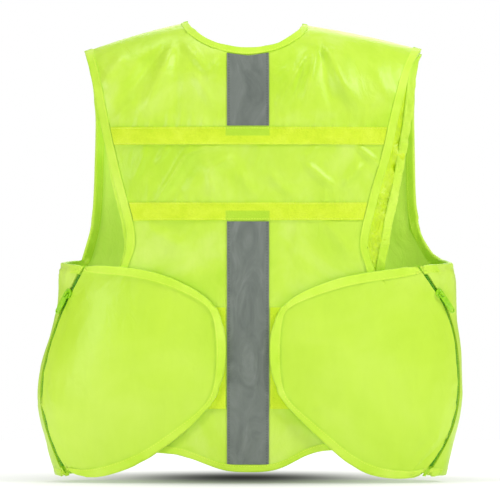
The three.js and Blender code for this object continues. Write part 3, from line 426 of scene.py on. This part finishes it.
finishes = {
    "cloth": satin("limeSatin", {
        "base": (203, 240, 64), "light": (215, 245, 104), "deep": (192, 234, 44),
        "broad": 12, "streaks": 0.5, "crinkle": 0.3, "rough": 0.42, "sheen": 0.15, "gloss": 0.55,
    }),
    "wing": satin("limeWing", {
        "base": (201, 239, 60), "light": (208, 242, 78), "deep": (195, 235, 48),
        "broad": 7, "streaks": 0.3, "crinkle": 0.16, "rough": 0.4, "sheen": 0.15, "gloss": 0.55,
    }),
    "inside": satin("limeInside", {
        # the cloth's inner face, painted lighter than its own colour against the shade inside the
        # vest
        "base": (204, 234, 98), "light": (212, 239, 112), "deep": (190, 224, 74),
        "broad": 9, "streaks": 0.5, "crinkle": 0.4, "rough": 0.5, "sheen": 0.2, "gloss": 0.4,
        "glow": 0.22,  # a painted glow, in place of the light that comes through the thin cloth
    }),
    "lining": satin("limeLining", {
        # the deep tone and strong streaks paint shade into the lining's crumples, and the glow is a
        # painted glow that lifts its shaded strip
        "base": (206, 236, 26), "light": (222, 246, 70), "deep": (182, 216, 8),
        "broad": 44, "streaks": 0.9, "crinkle": 1.3, "rough": 0.34, "sheen": 0.2, "gloss": 0.6,
        "glow": 0.1,
    }),
    "binding": ribbon("limeBinding", {
        "base": (209, 246, 74), "light": (217, 250, 90), "deep": (198, 240, 56),
    }),
    "hook_loop": pile("loopPile", {
        "base": (217, 243, 46), "light": (224, 248, 62), "deep": (206, 237, 34),
        "under": (172, 222, 48), "tufts": 620, "fuzz": 900,
    }),
    "reflective": reflectiveTape("reflectiveTape", {
        "base": (121, 129, 122), "light": (135, 142, 136), "deep": (107, 115, 109),
    }),
    "zip_tape": twill("zipTape", {"light": (112, 190, 40), "deep": (84, 160, 22)}),
    "zip_teeth": paint("zipTeeth", {
        "base": (112, 196, 26), "light": (132, 212, 44), "deep": (92, 176, 14), "rough": 0.4,
    }),
    "zip_pull": paint("zipPull", {
        "base": (164, 226, 24), "light": (184, 236, 46), "deep": (136, 208, 12), "rough": 0.3,
    }),
    "thread": ribbon("limeThread", {
        "base": (232, 252, 96), "light": (238, 254, 112), "deep": (226, 248, 80),
    }),
    "tapeThread": ribbon("greyThread", {
        "base": (78, 86, 82), "light": (92, 100, 96), "deep": (66, 74, 70),
    }),
}
print("finishes made")


easing = {
    "sharpTurn": 38,  # degrees; an edge that turns more is a fold or a cut edge
    "clothCorner": 56,  # degrees; a cloth's rim keeps a corner that turns more
    "trimCorner": 75,
    "trimSweeps": 20,
    "rimReach": 12 * mm,  # how far into the cloth its rim's easing reaches
    "foldTurn": 60,  # degrees across the rolled edge of a binding
    "foldDepth": 1.35,  # the least depth beside it, in widths of the roll
}
bindingRoll = 1.9 * mm
liningRoll = 1.2 * mm
girth = {"halfWidth": 0.25, "halfDepth": 0.088}
innerFace = -0.2  # a face that points outwards by less than this is an inner one


def isSharp(edge):
    return len(edge.link_faces) != 2 or edge.calc_face_angle(0) > math.radians(easing["sharpTurn"])


def outward(at):
    # out of the vest, level
    return Vector((at.x / girth["halfWidth"] ** 2, at.y / girth["halfDepth"] ** 2, 0)).normalized()


def cleanMesh(name):
    # a copy of a solid with its loose triangles merged
    bm = bmesh.new()
    bm.from_mesh(nodes[name].data)
    bmesh.ops.remove_doubles(bm, verts=bm.verts, dist=0.01 * mm)
    return bm


def joinFlat(bm, turn=5):
    bmesh.ops.join_triangles(
        bm, faces=bm.faces, angle_face_threshold=math.radians(turn), angle_shape_threshold=math.pi
    )


def refine(bm, cell):
    # halves every edge that is longer than the cell, so that folds have something to bend
    mostHalvings = 7
    for _ in range(mostHalvings):
        longOnes = [e for e in bm.edges if e.calc_length() > cell]
        if not longOnes:
            break
        bmesh.ops.subdivide_edges(bm, edges=longOnes, cuts=1, use_grid_fill=False)
        bmesh.ops.triangulate(bm, faces=[f for f in bm.faces if len(f.verts) > 3])


def roundFold(bm, offset):
    # the rolled outer edge of a binding
    joinFlat(bm)
    rolled = []
    for e in bm.edges:
        if len(e.link_faces) == 2 and e.calc_face_angle(0) > math.radians(easing["foldTurn"]):
            deep = min(f.calc_area() for f in e.link_faces) / e.calc_length()
            if deep > easing["foldDepth"] * offset:
                rolled.append(e)
    if rolled:
        bmesh.ops.bevel(
            bm, geom=rolled, offset=offset, segments=3, profile=0.5, affect="EDGES",
            material=-1, clamp_overlap=True,
        )
    bmesh.ops.triangulate(bm, faces=[f for f in bm.faces if len(f.verts) > 3])


def finishPiece(bm, name, finish, replaced=(), body="vest", inner=None):
    # the finished mesh as an object; its inner faces take the inner finish, if there is one
    for f in bm.faces:
        f.smooth = True
        f.material_index = 0
        if inner and f.normal.dot(outward(f.calc_center_median())) < innerFace:
            f.material_index = 1
    for e in bm.edges:
        e.smooth = not isSharp(e)
    mesh = bpy.data.meshes.new(name)
    bm.to_mesh(mesh)
    bm.free()
    if "custom_normal" in mesh.attributes:
        mesh.attributes.remove(mesh.attributes["custom_normal"])
    mesh.materials.append(finishes[finish])
    if inner:
        mesh.materials.append(finishes[inner])
    piece = bpy.data.objects.new(name, mesh)
    bpy.context.scene.collection.objects.link(piece)
    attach(piece, body)
    for node in replaced:
        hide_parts(node)
    return piece


def nearTree(points):
    tree = KDTree(len(points))
    for i, at in enumerate(points):
        tree.insert(at, i)
    tree.balance()
    return tree


def easeRim(pinned, widest, sweeps):
    # takes the corners off a rim's long curves and leaves its real corners
    slides = []
    for v in pinned:
        ends = [e.other_vert(v) for e in v.link_edges if isSharp(e)]
        if not 2 <= len(ends) <= 3:
            continue
        pairs = list(combinations(ends, 2))
        turns = [(v.co - a.co).angle(b.co - v.co, math.inf) for a, b in pairs]
        turn = min(turns)
        if turn < math.radians(widest):
            slides.append((v, *pairs[turns.index(turn)]))
    for _ in range(sweeps):
        middles = [(v, (a.co + b.co) / 2) for v, a, b in slides]
        for v, middle in middles:
            v.co = v.co.lerp(middle, 0.5)


def rimOf(bm):
    return sorted({v for e in bm.edges if isSharp(e) for v in e.verts}, key=lambda v: v.index)


class Mover:
    # carries what is sewn to a cloth along with it
    neighbours = 4
    softening = 0.5 * mm

    def __init__(self, rest, moves):
        self.rest, self.moves = rest, moves
        self.tree = nearTree(rest)

    def move(self, at):
        # the move of the nearest points, the nearer the more
        total, weight = Vector(), 0
        for _, i, away in self.tree.find_n(at, self.neighbours):
            w = 1 / (away + self.softening) ** 2
            total += self.moves[i] * w
            weight += w
        return total / weight

    def carry(self, bm):
        for v in bm.verts:
            v.co += self.move(v.co)


def settle(bm, folded, sweeps, rimSweeps):
    # smooths and creases a main cloth, and says how each of its points moved
    bm.verts.index_update()
    rest = [v.co.copy() for v in bm.verts]
    normals = [v.normal.copy() for v in bm.verts]
    pinned = rimOf(bm)
    rimRest = [v.co.copy() for v in pinned]
    rim = nearTree(rimRest)
    onRim = set(pinned)
    free = [v for v in bm.verts if v not in onRim]
    for _ in range(sweeps):
        bmesh.ops.smooth_vert(
            bm, verts=free, factor=0.5, use_axis_x=True, use_axis_y=True, use_axis_z=True
        )
    easeRim(pinned, easing["clothCorner"], rimSweeps)
    rimMoves = [v.co - at for v, at in zip(pinned, rimRest)]
    moves = []
    for v, at, normal in zip(bm.verts, rest, normals):
        _, nearest, edge = rim.find(at)
        # only the part across the cloth counts, so that the seams keep their places
        move = normal * (v.co - at).dot(normal) if edge > 0 else Vector()
        move += rimMoves[nearest] * math.exp(-edge / easing["rimReach"]) + folded(at, edge / mm)
        moves.append(move)
    for v, at, move in zip(bm.verts, rest, moves):
        v.co = at + move
    return Mover(rest, moves)


def easeTrim(bm):
    # rounds a binding's course where the solid turns in short straight steps
    bm.verts.index_update()
    pinned = rimOf(bm)
    rest = [v.co.copy() for v in pinned]
    easeRim(pinned, easing["trimCorner"], easing["trimSweeps"])
    eased = Mover(rest, [v.co - at for v, at in zip(pinned, rest)])
    onRim = set(pinned)
    for v in bm.verts:
        if v not in onRim:
            v.co += eased.move(v.co)
    return eased


def smoothStep(a, b, x):
    # 0 before a, 1 past b, and a soft rise between them
    t = min(1, max(0, (x - a) / (b - a)))
    return t * t * (3 - 2 * t)


def creases(table, at):
    # soft ridges and valleys: each row is x, z of both ends, width and height, in millimetres
    x, z = at.x / mm, at.z / mm
    total = 0
    for x0, z0, x1, z1, width, height in table:
        dx, dz = x1 - x0, z1 - z0
        # how far along the crease, which fades out a quarter of its length past its ends
        along = ((x - x0) * dx + (z - z0) * dz) / (dx * dx + dz * dz)
        if not -0.25 < along < 1.25:
            continue
        away = ((x - x0) * dz - (z - z0) * dx) / math.hypot(dx, dz)
        if abs(away) > 3 * width:
            continue
        ends = smoothStep(-0.25, 0.2, along) * (1 - smoothStep(0.7, 1.25, along))
        total += height * ends * math.exp(-((away / width) ** 2))
    return total


def uneven(at, size, height, seed=0):
    # gentle unevenness, in millimetres, of about that size in metres
    return height * noise.noise(Vector((at.x / size, at.z / size, at.y / size + seed)))


back = {
    "cell": 4.6 * mm,
    "sweeps": 40,
    "rimSweeps": 16,
    "waves": [(0.03, 1.3, 3), (0.075, 2.6, 7)],  # size in metres, height in millimetres, seed
    "edgeWaves": (0.009, 0.5, 5),
    "edgeReach": 14,  # millimetres in from the rim
    "stillWaves": (0.02, 0.5, 11),  # under the wings
    "folds": [
        # x, z, x, z, width, height in millimetres; above 0 stands out of the vest
        (-91, -29, -120, -100, 7, 2.6),
        (-88, -15, -133, -74, 8, -2.4),
        (-149, -39, -171, -70, 7, 2.2),
        (-82, -14, -86, -92, 7, -1.6),
        (-73, -24, -48, -58, 5, 1.6),
        (-62, -60, -40, -98, 6, 1.2),
        (-37, -46, -51, -68, 4, 1.4),
        (-115, -43, -151, -92, 9, -1.8),
        (-135, -90, -160, -118, 6, 1.2),
        (75, -25, 35, -96, 5, 2.2),
        (83, -25, 67, -92, 5, 2.0),
        (91, -21, 117, -88, 7, 2.4),
        (80, -14, 88, -43, 5, -2.8),
        (72, -31, 50, -102, 5, -1.4),
        (87, -43, 97, -96, 7, -1.6),
        (100, -28, 129, -99, 8, 1.5),
        (50, -50, 33, -65, 4, 1.2),
        (150, -45, 165, -85, 8, 1.2),
        (-94, -146, -106, -163, 3, 1.4),
        (-70, -150, -104, -206, 4.5, 2.4),
        (-50, -145, -72, -155, 3, 1.3),
        (-32, -145, -50, -147, 2.6, 1.1),
        (-21, -158, -45, -172, 5, 2.0),
        (-45, -172, -41, -200, 6, 1.7),
        (-61, -166, -86, -200, 6, -1.6),
        (-120, -150, -135, -185, 6, 1.2),
        (81, -146, 65, -161, 4, 1.6),
        (69, -166, 100, -192, 5, 1.8),
        (132, -168, 112, -190, 5, 2.2),
        (130, -146, 152, -164, 3.5, 1.6),
        (17, -144, 7, -172, 6, 1.4),
        (26, -178, 50, -202, 6, 1.4),
        (-10, -176, 8, -202, 7, 1.3),
        (-120, -240, -80, -262, 7, 1.3),
        (-60, -236, -95, -280, 8, 1.2),
        (60, -238, 52, -280, 6, 1.2),
        (95, -236, 120, -275, 7, 1.3),
    ],
    "foldHeight": 2.1,
    "puckers": [
        # x, height of short creases that rise from a band's upper edge
        (-152, 1.2), (-130, 1.5), (-116, 1.2), (-94, 1.7), (-80, 1.6), (-66, 1.3), (-53, 1.6),
        (-37, 1.1), (35, 1.3), (43, 1.7), (56, 1.0), (78, 1.8), (92, 1.3), (101, 1.5),
        (118, 1.0), (136, 1.4), (152, 1.0),
    ],
    "puckerBands": [
        # a band's top, the share of the puckers' height and their shift along it
        (-121.5, 1, 0),
        (-210, 0.6, 11),
    ],
    "puckerHeight": 1.8,
    "puckerRise": 13,
    "puckerFoot": (-6, 1),  # it starts under the band's edge and is full just above it
    "puckerEnd": 2.2,  # in rises above the edge
    "puckerWidth": 2.8,
    "puckerLean": 0.12,
    # bottom and top of each band, and half the strip's width, all of which hold the cloth flat
    "heldBands": ((-0.1439, -0.1215), (-0.2324, -0.21)),
    "bandSoft": (0.6, 1.15),  # in halves of a band's height, where its hold fades
    "heldStrip": (0.020, 0.032),
    "stripBetween": (-0.233, -0.12),  # no strip over the cloth from here to here
    "bandHold": 0.72,
    "stripHold": 0.6,
    "shoulderFlat": (-0.034, -0.010),
    "wingFlat": (0.262, 0.300),  # how far down the wings start to press it flat
    "stillFrom": (0.27, 0.31),
}


def puckered(at):
    x, z = at.x / mm, at.z / mm
    total = 0
    for top, share, shift in back["puckerBands"]:
        up = z - top
        if not back["puckerFoot"][0] < up < back["puckerEnd"] * back["puckerRise"]:
            continue
        fade = smoothStep(*back["puckerFoot"], up) * math.exp(-max(up, 0) / back["puckerRise"])
        for x0, height in back["puckers"]:
            lean = x0 + shift + up * back["puckerLean"]
            across = (x - lean) / back["puckerWidth"]
            total += share * height * fade * math.exp(-(across ** 2))
    return total


def backFold(at, edge):
    high = back["foldHeight"] * creases(back["folds"], at) + back["puckerHeight"] * puckered(at)
    high += sum(uneven(at, *row) for row in back["waves"])
    high += uneven(at, *back["edgeWaves"]) * math.exp(-edge / back["edgeReach"])
    high *= 1 - smoothStep(*back["shoulderFlat"], at.z)
    high *= 1 - smoothStep(*back["wingFlat"], -at.z)
    tight, loose = back["bandSoft"]
    for low, top in back["heldBands"]:
        middle, half = (low + top) / 2, (top - low) / 2
        freed = smoothStep(half * tight, half * loose, abs(at.z - middle))
        high *= 1 - back["bandHold"] * (1 - freed)
    stripEnd, stripStart = back["stripBetween"]
    if at.z > stripStart or at.z < stripEnd:
        high *= 1 - back["stripHold"] * (1 - smoothStep(*back["heldStrip"], abs(at.x)))
    still = uneven(at, *back["stillWaves"]) * smoothStep(*back["stillFrom"], -at.z)
    return Vector((0, -(high + still) * mm, 0))


front = {
    "cell": 7 * mm,
    "sweeps": 24,
    "rimSweeps": 40,
    "waves": [(0.05, 2.2, 21), (0.02, 0.8, 23)],
    "edgeFlat": (2, 22),  # millimetres in from the rim
    "shoulderFlat": (-0.045, -0.012),
    # the right armhole curves in a little more above its foot, by so many millimetres
    "footCurve": {
        "x": 0.224, "z": -0.262, "spread": 18 * mm, "move": (-5.5, 0, -4.4), "from": (-0.03, 0),
    },
}


def frontFold(at, edge):
    high = sum(uneven(at, *row) for row in front["waves"])
    high *= smoothStep(*front["edgeFlat"], edge)
    high *= 1 - smoothStep(*front["shoulderFlat"], at.z)
    foot = front["footCurve"]
    away = math.hypot(at.x - foot["x"], at.z - foot["z"]) / foot["spread"]
    pull = math.exp(-away * away / 2) * smoothStep(*foot["from"], at.y)
    return (outward(at) * high + Vector(foot["move"]) * pull) * mm


wing = {
    "cell": 5 * mm,
    "sweeps": 24,
    "rimSweeps": 60,
    "waves": (0.07, 1.8, 31),
    "edgeWaves": (0.011, 1.1, 33),
    "edgeReach": 13,
    "edgeFlat": (4, 40),
}


def wingFold(at, edge):
    high = uneven(at, *wing["waves"]) * smoothStep(*wing["edgeFlat"], edge)
    high += uneven(at, *wing["edgeWaves"]) * math.exp(-edge / wing["edgeReach"])
    return outward(at) * high * mm


def dress(name, carrier, finish, cell, roll=0, extra=None):
    # a trim or a second layer: it follows the cloth that carries it
    bm = cleanMesh(name)
    if roll:
        roundFold(bm, roll)
    refine(bm, cell)
    pushed = [extra(v.co) for v in bm.verts] if extra else None
    carrier.carry(bm)
    if extra:
        for v, push in zip(bm.verts, pushed):
            v.co += push
    movers = [carrier]
    if roll:
        movers.append(easeTrim(bm))
    return finishPiece(bm, name + "_cloth", finish, (name,)), movers


def mainCloth(name, finish, settings, folded, inner=None):
    bm = cleanMesh(name)
    refine(bm, settings["cell"])
    carrier = settle(bm, folded, settings["sweeps"], settings["rimSweeps"])
    return carrier, finishPiece(bm, name + "_cloth", finish, (name,), inner=inner)


sewing = {
    "step": 3.3 * mm,
    "length": 2.5 * mm,
    "width": 0.95 * mm,
    "height": 0.7 * mm,
    "inset": 1.5 * mm,
    "tapeInset": 2.3 * mm,
    "corner": 55,  # degrees at a cut edge
    "shortest": 3.5 * mm,  # a shorter edge is an end and has no row
    "foldDepth": 1.7 * mm,  # a wall deeper than this is a fold, not a cut edge
    "facing": 0.5,  # how squarely a face has to look in or out to carry stitches
    "upright": 0.7,  # a row that climbs more than this runs upright
}


def sewRow(bm, name, movers, runs="any", inset=None, both=False):
    # a row of stitches inside each cut edge of a trim
    source = cleanMesh(name)
    joinFlat(source)
    inset = inset or sewing["inset"]
    row = bmesh.new()
    for e in source.edges:
        if len(e.link_faces) != 2 or e.calc_face_angle(0) < math.radians(sewing["corner"]):
            continue
        length = e.calc_length()
        if length < sewing["shortest"]:
            continue
        a, b = (v.co for v in e.verts)
        out = outward((a + b) / 2)
        leg, wall = sorted(e.link_faces, key=lambda f: -abs(f.normal.dot(out)))
        facing = leg.normal.dot(out)
        if abs(facing) < sewing["facing"] or (facing < 0 and not both):
            continue
        if wall.calc_area() / length > sewing["foldDepth"]:
            continue
        way = (b - a) / length
        upright = abs(way.z) > sewing["upright"]
        if (runs == "upright" and not upright) or (runs == "level" and upright):
            continue
        into = leg.normal.cross(way)
        if into.dot(leg.calc_center_median() - (a + b) / 2) < 0:
            into = -into
        count = max(1, round(length / sewing["step"]))
        turn = Matrix((way, into, leg.normal)).transposed().to_4x4()
        size = Matrix.Diagonal((sewing["length"] / 2, sewing["width"] / 2, sewing["height"] / 2, 1))
        for k in range(count):
            at = a.lerp(b, (k + 0.5) / count) + into * inset
            place = Matrix.Translation(at) @ turn @ size
            bmesh.ops.create_icosphere(row, subdivisions=1, radius=1, matrix=place)
    source.free()
    for mover in movers:
        mover.carry(row)
    spare = bpy.data.meshes.new("row")
    row.to_mesh(spare)
    row.free()
    bm.from_mesh(spare)
    bpy.data.meshes.remove(spare)


zips = {
    "pitch": 1.5 * mm,
    "tooth": (1.0 * mm, 2.6 * mm, 1.3 * mm),  # along the zip, across it and out
    "offset": 0.75 * mm,  # each tooth stands this far to its own side
    "bevel": 0.22 * mm,
    "slice": 2 * mm,  # from one cut for the zip's course to the next
    "frontRise": 0.9 * mm,  # of the front zip's teeth over its strip
}


def zipLine(name):
    # the middle of a strip, from its cuts at many heights
    strip = cleanMesh(name)
    heights = [v.co.z for v in strip.verts]
    low, high = min(heights), max(heights)
    count = int((high - low) / zips["slice"])
    line = []
    for k in range(1, count):
        level = high + (low - high) * k / count
        cut = bmesh.ops.bisect_plane(
            strip, geom=strip.verts[:] + strip.edges[:] + strip.faces[:], dist=1e-7,
            plane_co=(0, 0, level), plane_no=(0, 0, 1),
        )["geom_cut"]
        found = np.array([g.co[:2] for g in cut if isinstance(g, bmesh.types.BMVert)])
        if len(found) < 3:
            continue
        middle = found.mean(0)
        for way in np.linalg.svd(found - middle)[2]:  # along the cut and across it
            reach = (found - middle) @ way
            middle = middle + way * (reach.max() + reach.min()) / 2
        line.append(Vector((*middle, level)))
    strip.free()
    return line


def toothRow(name, carrier, rise, pieceName):
    # teeth one by one along a zip's course, first to one side and then to the other
    line = zipLine(name)
    bm = bmesh.new()
    gone, due, side = 0, 0, 1
    for a, b in zip(line, line[1:]):
        way = b - a
        length = way.length
        way = way / length
        while due < gone + length:
            at = a + way * (due - gone)
            out = outward(at)
            across = way.cross(out).normalized()
            up = across.cross(way).normalized()
            if up.dot(out) < 0:
                up = -up
            turn = Matrix((way, across, up)).transposed().to_4x4()
            size = Matrix.Diagonal((*zips["tooth"], 1))
            at = at + across * side * zips["offset"] + up * rise
            place = Matrix.Translation(at) @ turn @ size
            bmesh.ops.create_cube(bm, size=1, matrix=place)
            due += zips["pitch"]
            side = -side
        gone += length
    bmesh.ops.bevel(
        bm, geom=bm.edges[:], offset=zips["bevel"], segments=1, profile=0.5, affect="EDGES",
        material=-1,
    )
    carrier.carry(bm)
    return finishPiece(bm, pieceName, "zip_teeth")


backCarrier, backCloth = mainCloth("back_panel", "cloth", back, backFold, inner="inside")
panelTree = nearTree(backCarrier.rest)


crumple = {
    "waves": [(0.012, 3.0, 41), (0.006, 1.6, 43)],
    "pastPanel": (0.0045, 0.009),  # metres away from the back panel
    "belowShoulder": (0.03, 0.09),
}


def liningFold(at):
    # the thin lining crumples where it stands out past the back panel
    free = smoothStep(*crumple["pastPanel"], panelTree.find(at)[2])
    high = sum(uneven(at, *row) for row in crumple["waves"])
    return outward(at) * high * free * smoothStep(*crumple["belowShoulder"], -at.z) * mm


trims = [
    # name, finish and slot, rolled edge, which way its stitches run, stitched on both sides
    ("neck_binding_back", "binding", bindingRoll, "any", True),
    ("hem_binding_back", "binding", bindingRoll, "any", True),
    ("back_binding_left", "binding", bindingRoll, "any", False),
    ("back_binding_right", "binding", bindingRoll, "any", False),
    ("loop_band_upper", "hook_loop", 0, "level", False),
    ("loop_band_lower", "hook_loop", 0, "level", False),
    ("waist_loop_left", "hook_loop", 0, "level", False),
    ("waist_loop_right", "hook_loop", 0, "level", False),
    ("reflective_tape_upper", "reflective", 0, "upright", False),
    ("reflective_tape_lower", "reflective", 0, "upright", False),
]
threads, tapeThreads, backTrims = bmesh.new(), bmesh.new(), []
for name, kind, roll, runs, both in trims:
    piece, movers = dress(name, backCarrier, kind, back["cell"], roll)
    backTrims.append(piece)
    if kind == "reflective":
        sewRow(tapeThreads, name, movers, runs, inset=sewing["tapeInset"])
    else:
        sewRow(threads, name, movers, runs, both=both)
lining, _ = dress("back_lining", backCarrier, "lining", back["cell"], extra=liningFold)
liningTrims, liningThreads = [], bmesh.new()
for side in sides:
    name = f"lining_binding_{side}"
    piece, movers = dress(
        name, backCarrier, "binding", back["cell"], liningRoll, liningFold
    )
    liningTrims.append(piece)
    sewRow(liningThreads, name, movers)
liningTrims.append(finishPiece(liningThreads, "lining_stitches", "thread"))
backTrims.append(finishPiece(threads, "back_stitches", "thread"))
backTrims.append(finishPiece(tapeThreads, "tape_stitches", "tapeThread"))
print("back dressed")

frontCloths, frontTrims = {}, {side: [] for side in sides}
for side in sides:
    name = f"front_panel_{side}"
    carrier, frontCloths[side] = mainCloth(name, "cloth", front, frontFold, inner="inside")
    threads = bmesh.new()
    for part in ("neck", "armhole", "hem"):
        name = f"front_{part}_binding_{side}"
        piece, movers = dress(name, carrier, "binding", front["cell"], bindingRoll)
        frontTrims[side].append(piece)
        sewRow(threads, name, movers, both=True)
    frontTrims[side].append(finishPiece(threads, f"front_stitches_{side}", "thread"))
    name = f"side_zip_tape_{side}"
    frontTrims[side].append(dress(name, carrier, "zip_tape", front["cell"])[0])
    teeth = toothRow(f"side_zip_teeth_{side}", carrier, 0, f"side_zip_teeth_{side}_row")
    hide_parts(f"side_zip_teeth_{side}")
    frontTrims[side].append(teeth)
    if side == "left":
        strip, _ = dress("front_zip", carrier, "zip_tape", front["cell"])
        teeth = toothRow("front_zip", carrier, zips["frontRise"], "front_zip_teeth")
        frontTrims[side] += [strip, teeth]
print("fronts dressed")

wingCloths, wingTrims = {}, {}
for side in sides:
    carrier, wingCloths[side] = mainCloth(f"wing_{side}", "wing", wing, wingFold)
    name = f"wing_binding_{side}"
    piece, movers = dress(name, carrier, "binding", wing["cell"], bindingRoll)
    threads = bmesh.new()
    sewRow(threads, name, movers)
    wingTrims[side] = [piece, finishPiece(threads, f"wing_stitches_{side}", "thread")]
print("wings dressed")


hard = {"bevel": 0.22 * mm, "corner": 50, "flat": 1}  # angles in degrees


def hardPiece(name, body):
    # a zip's slider or pull, with its corners rounded
    bm = cleanMesh(name)
    joinFlat(bm, hard["flat"])
    corner = math.radians(hard["corner"])
    corners = [e for e in bm.edges if len(e.link_faces) == 2 and e.calc_face_angle(0) > corner]
    bmesh.ops.bevel(
        bm, geom=corners, offset=hard["bevel"], segments=2, profile=0.5, affect="EDGES",
        material=-1, clamp_overlap=True,
    )
    return finishPiece(bm, name + "_painted", "zip_pull", (name,), body)


for side in sides:
    hardPiece(f"zip_slider_{side}", "vest")
    hardPiece(f"zip_pull_{side}", f"{side}_pull")
print("zip pieces finished")
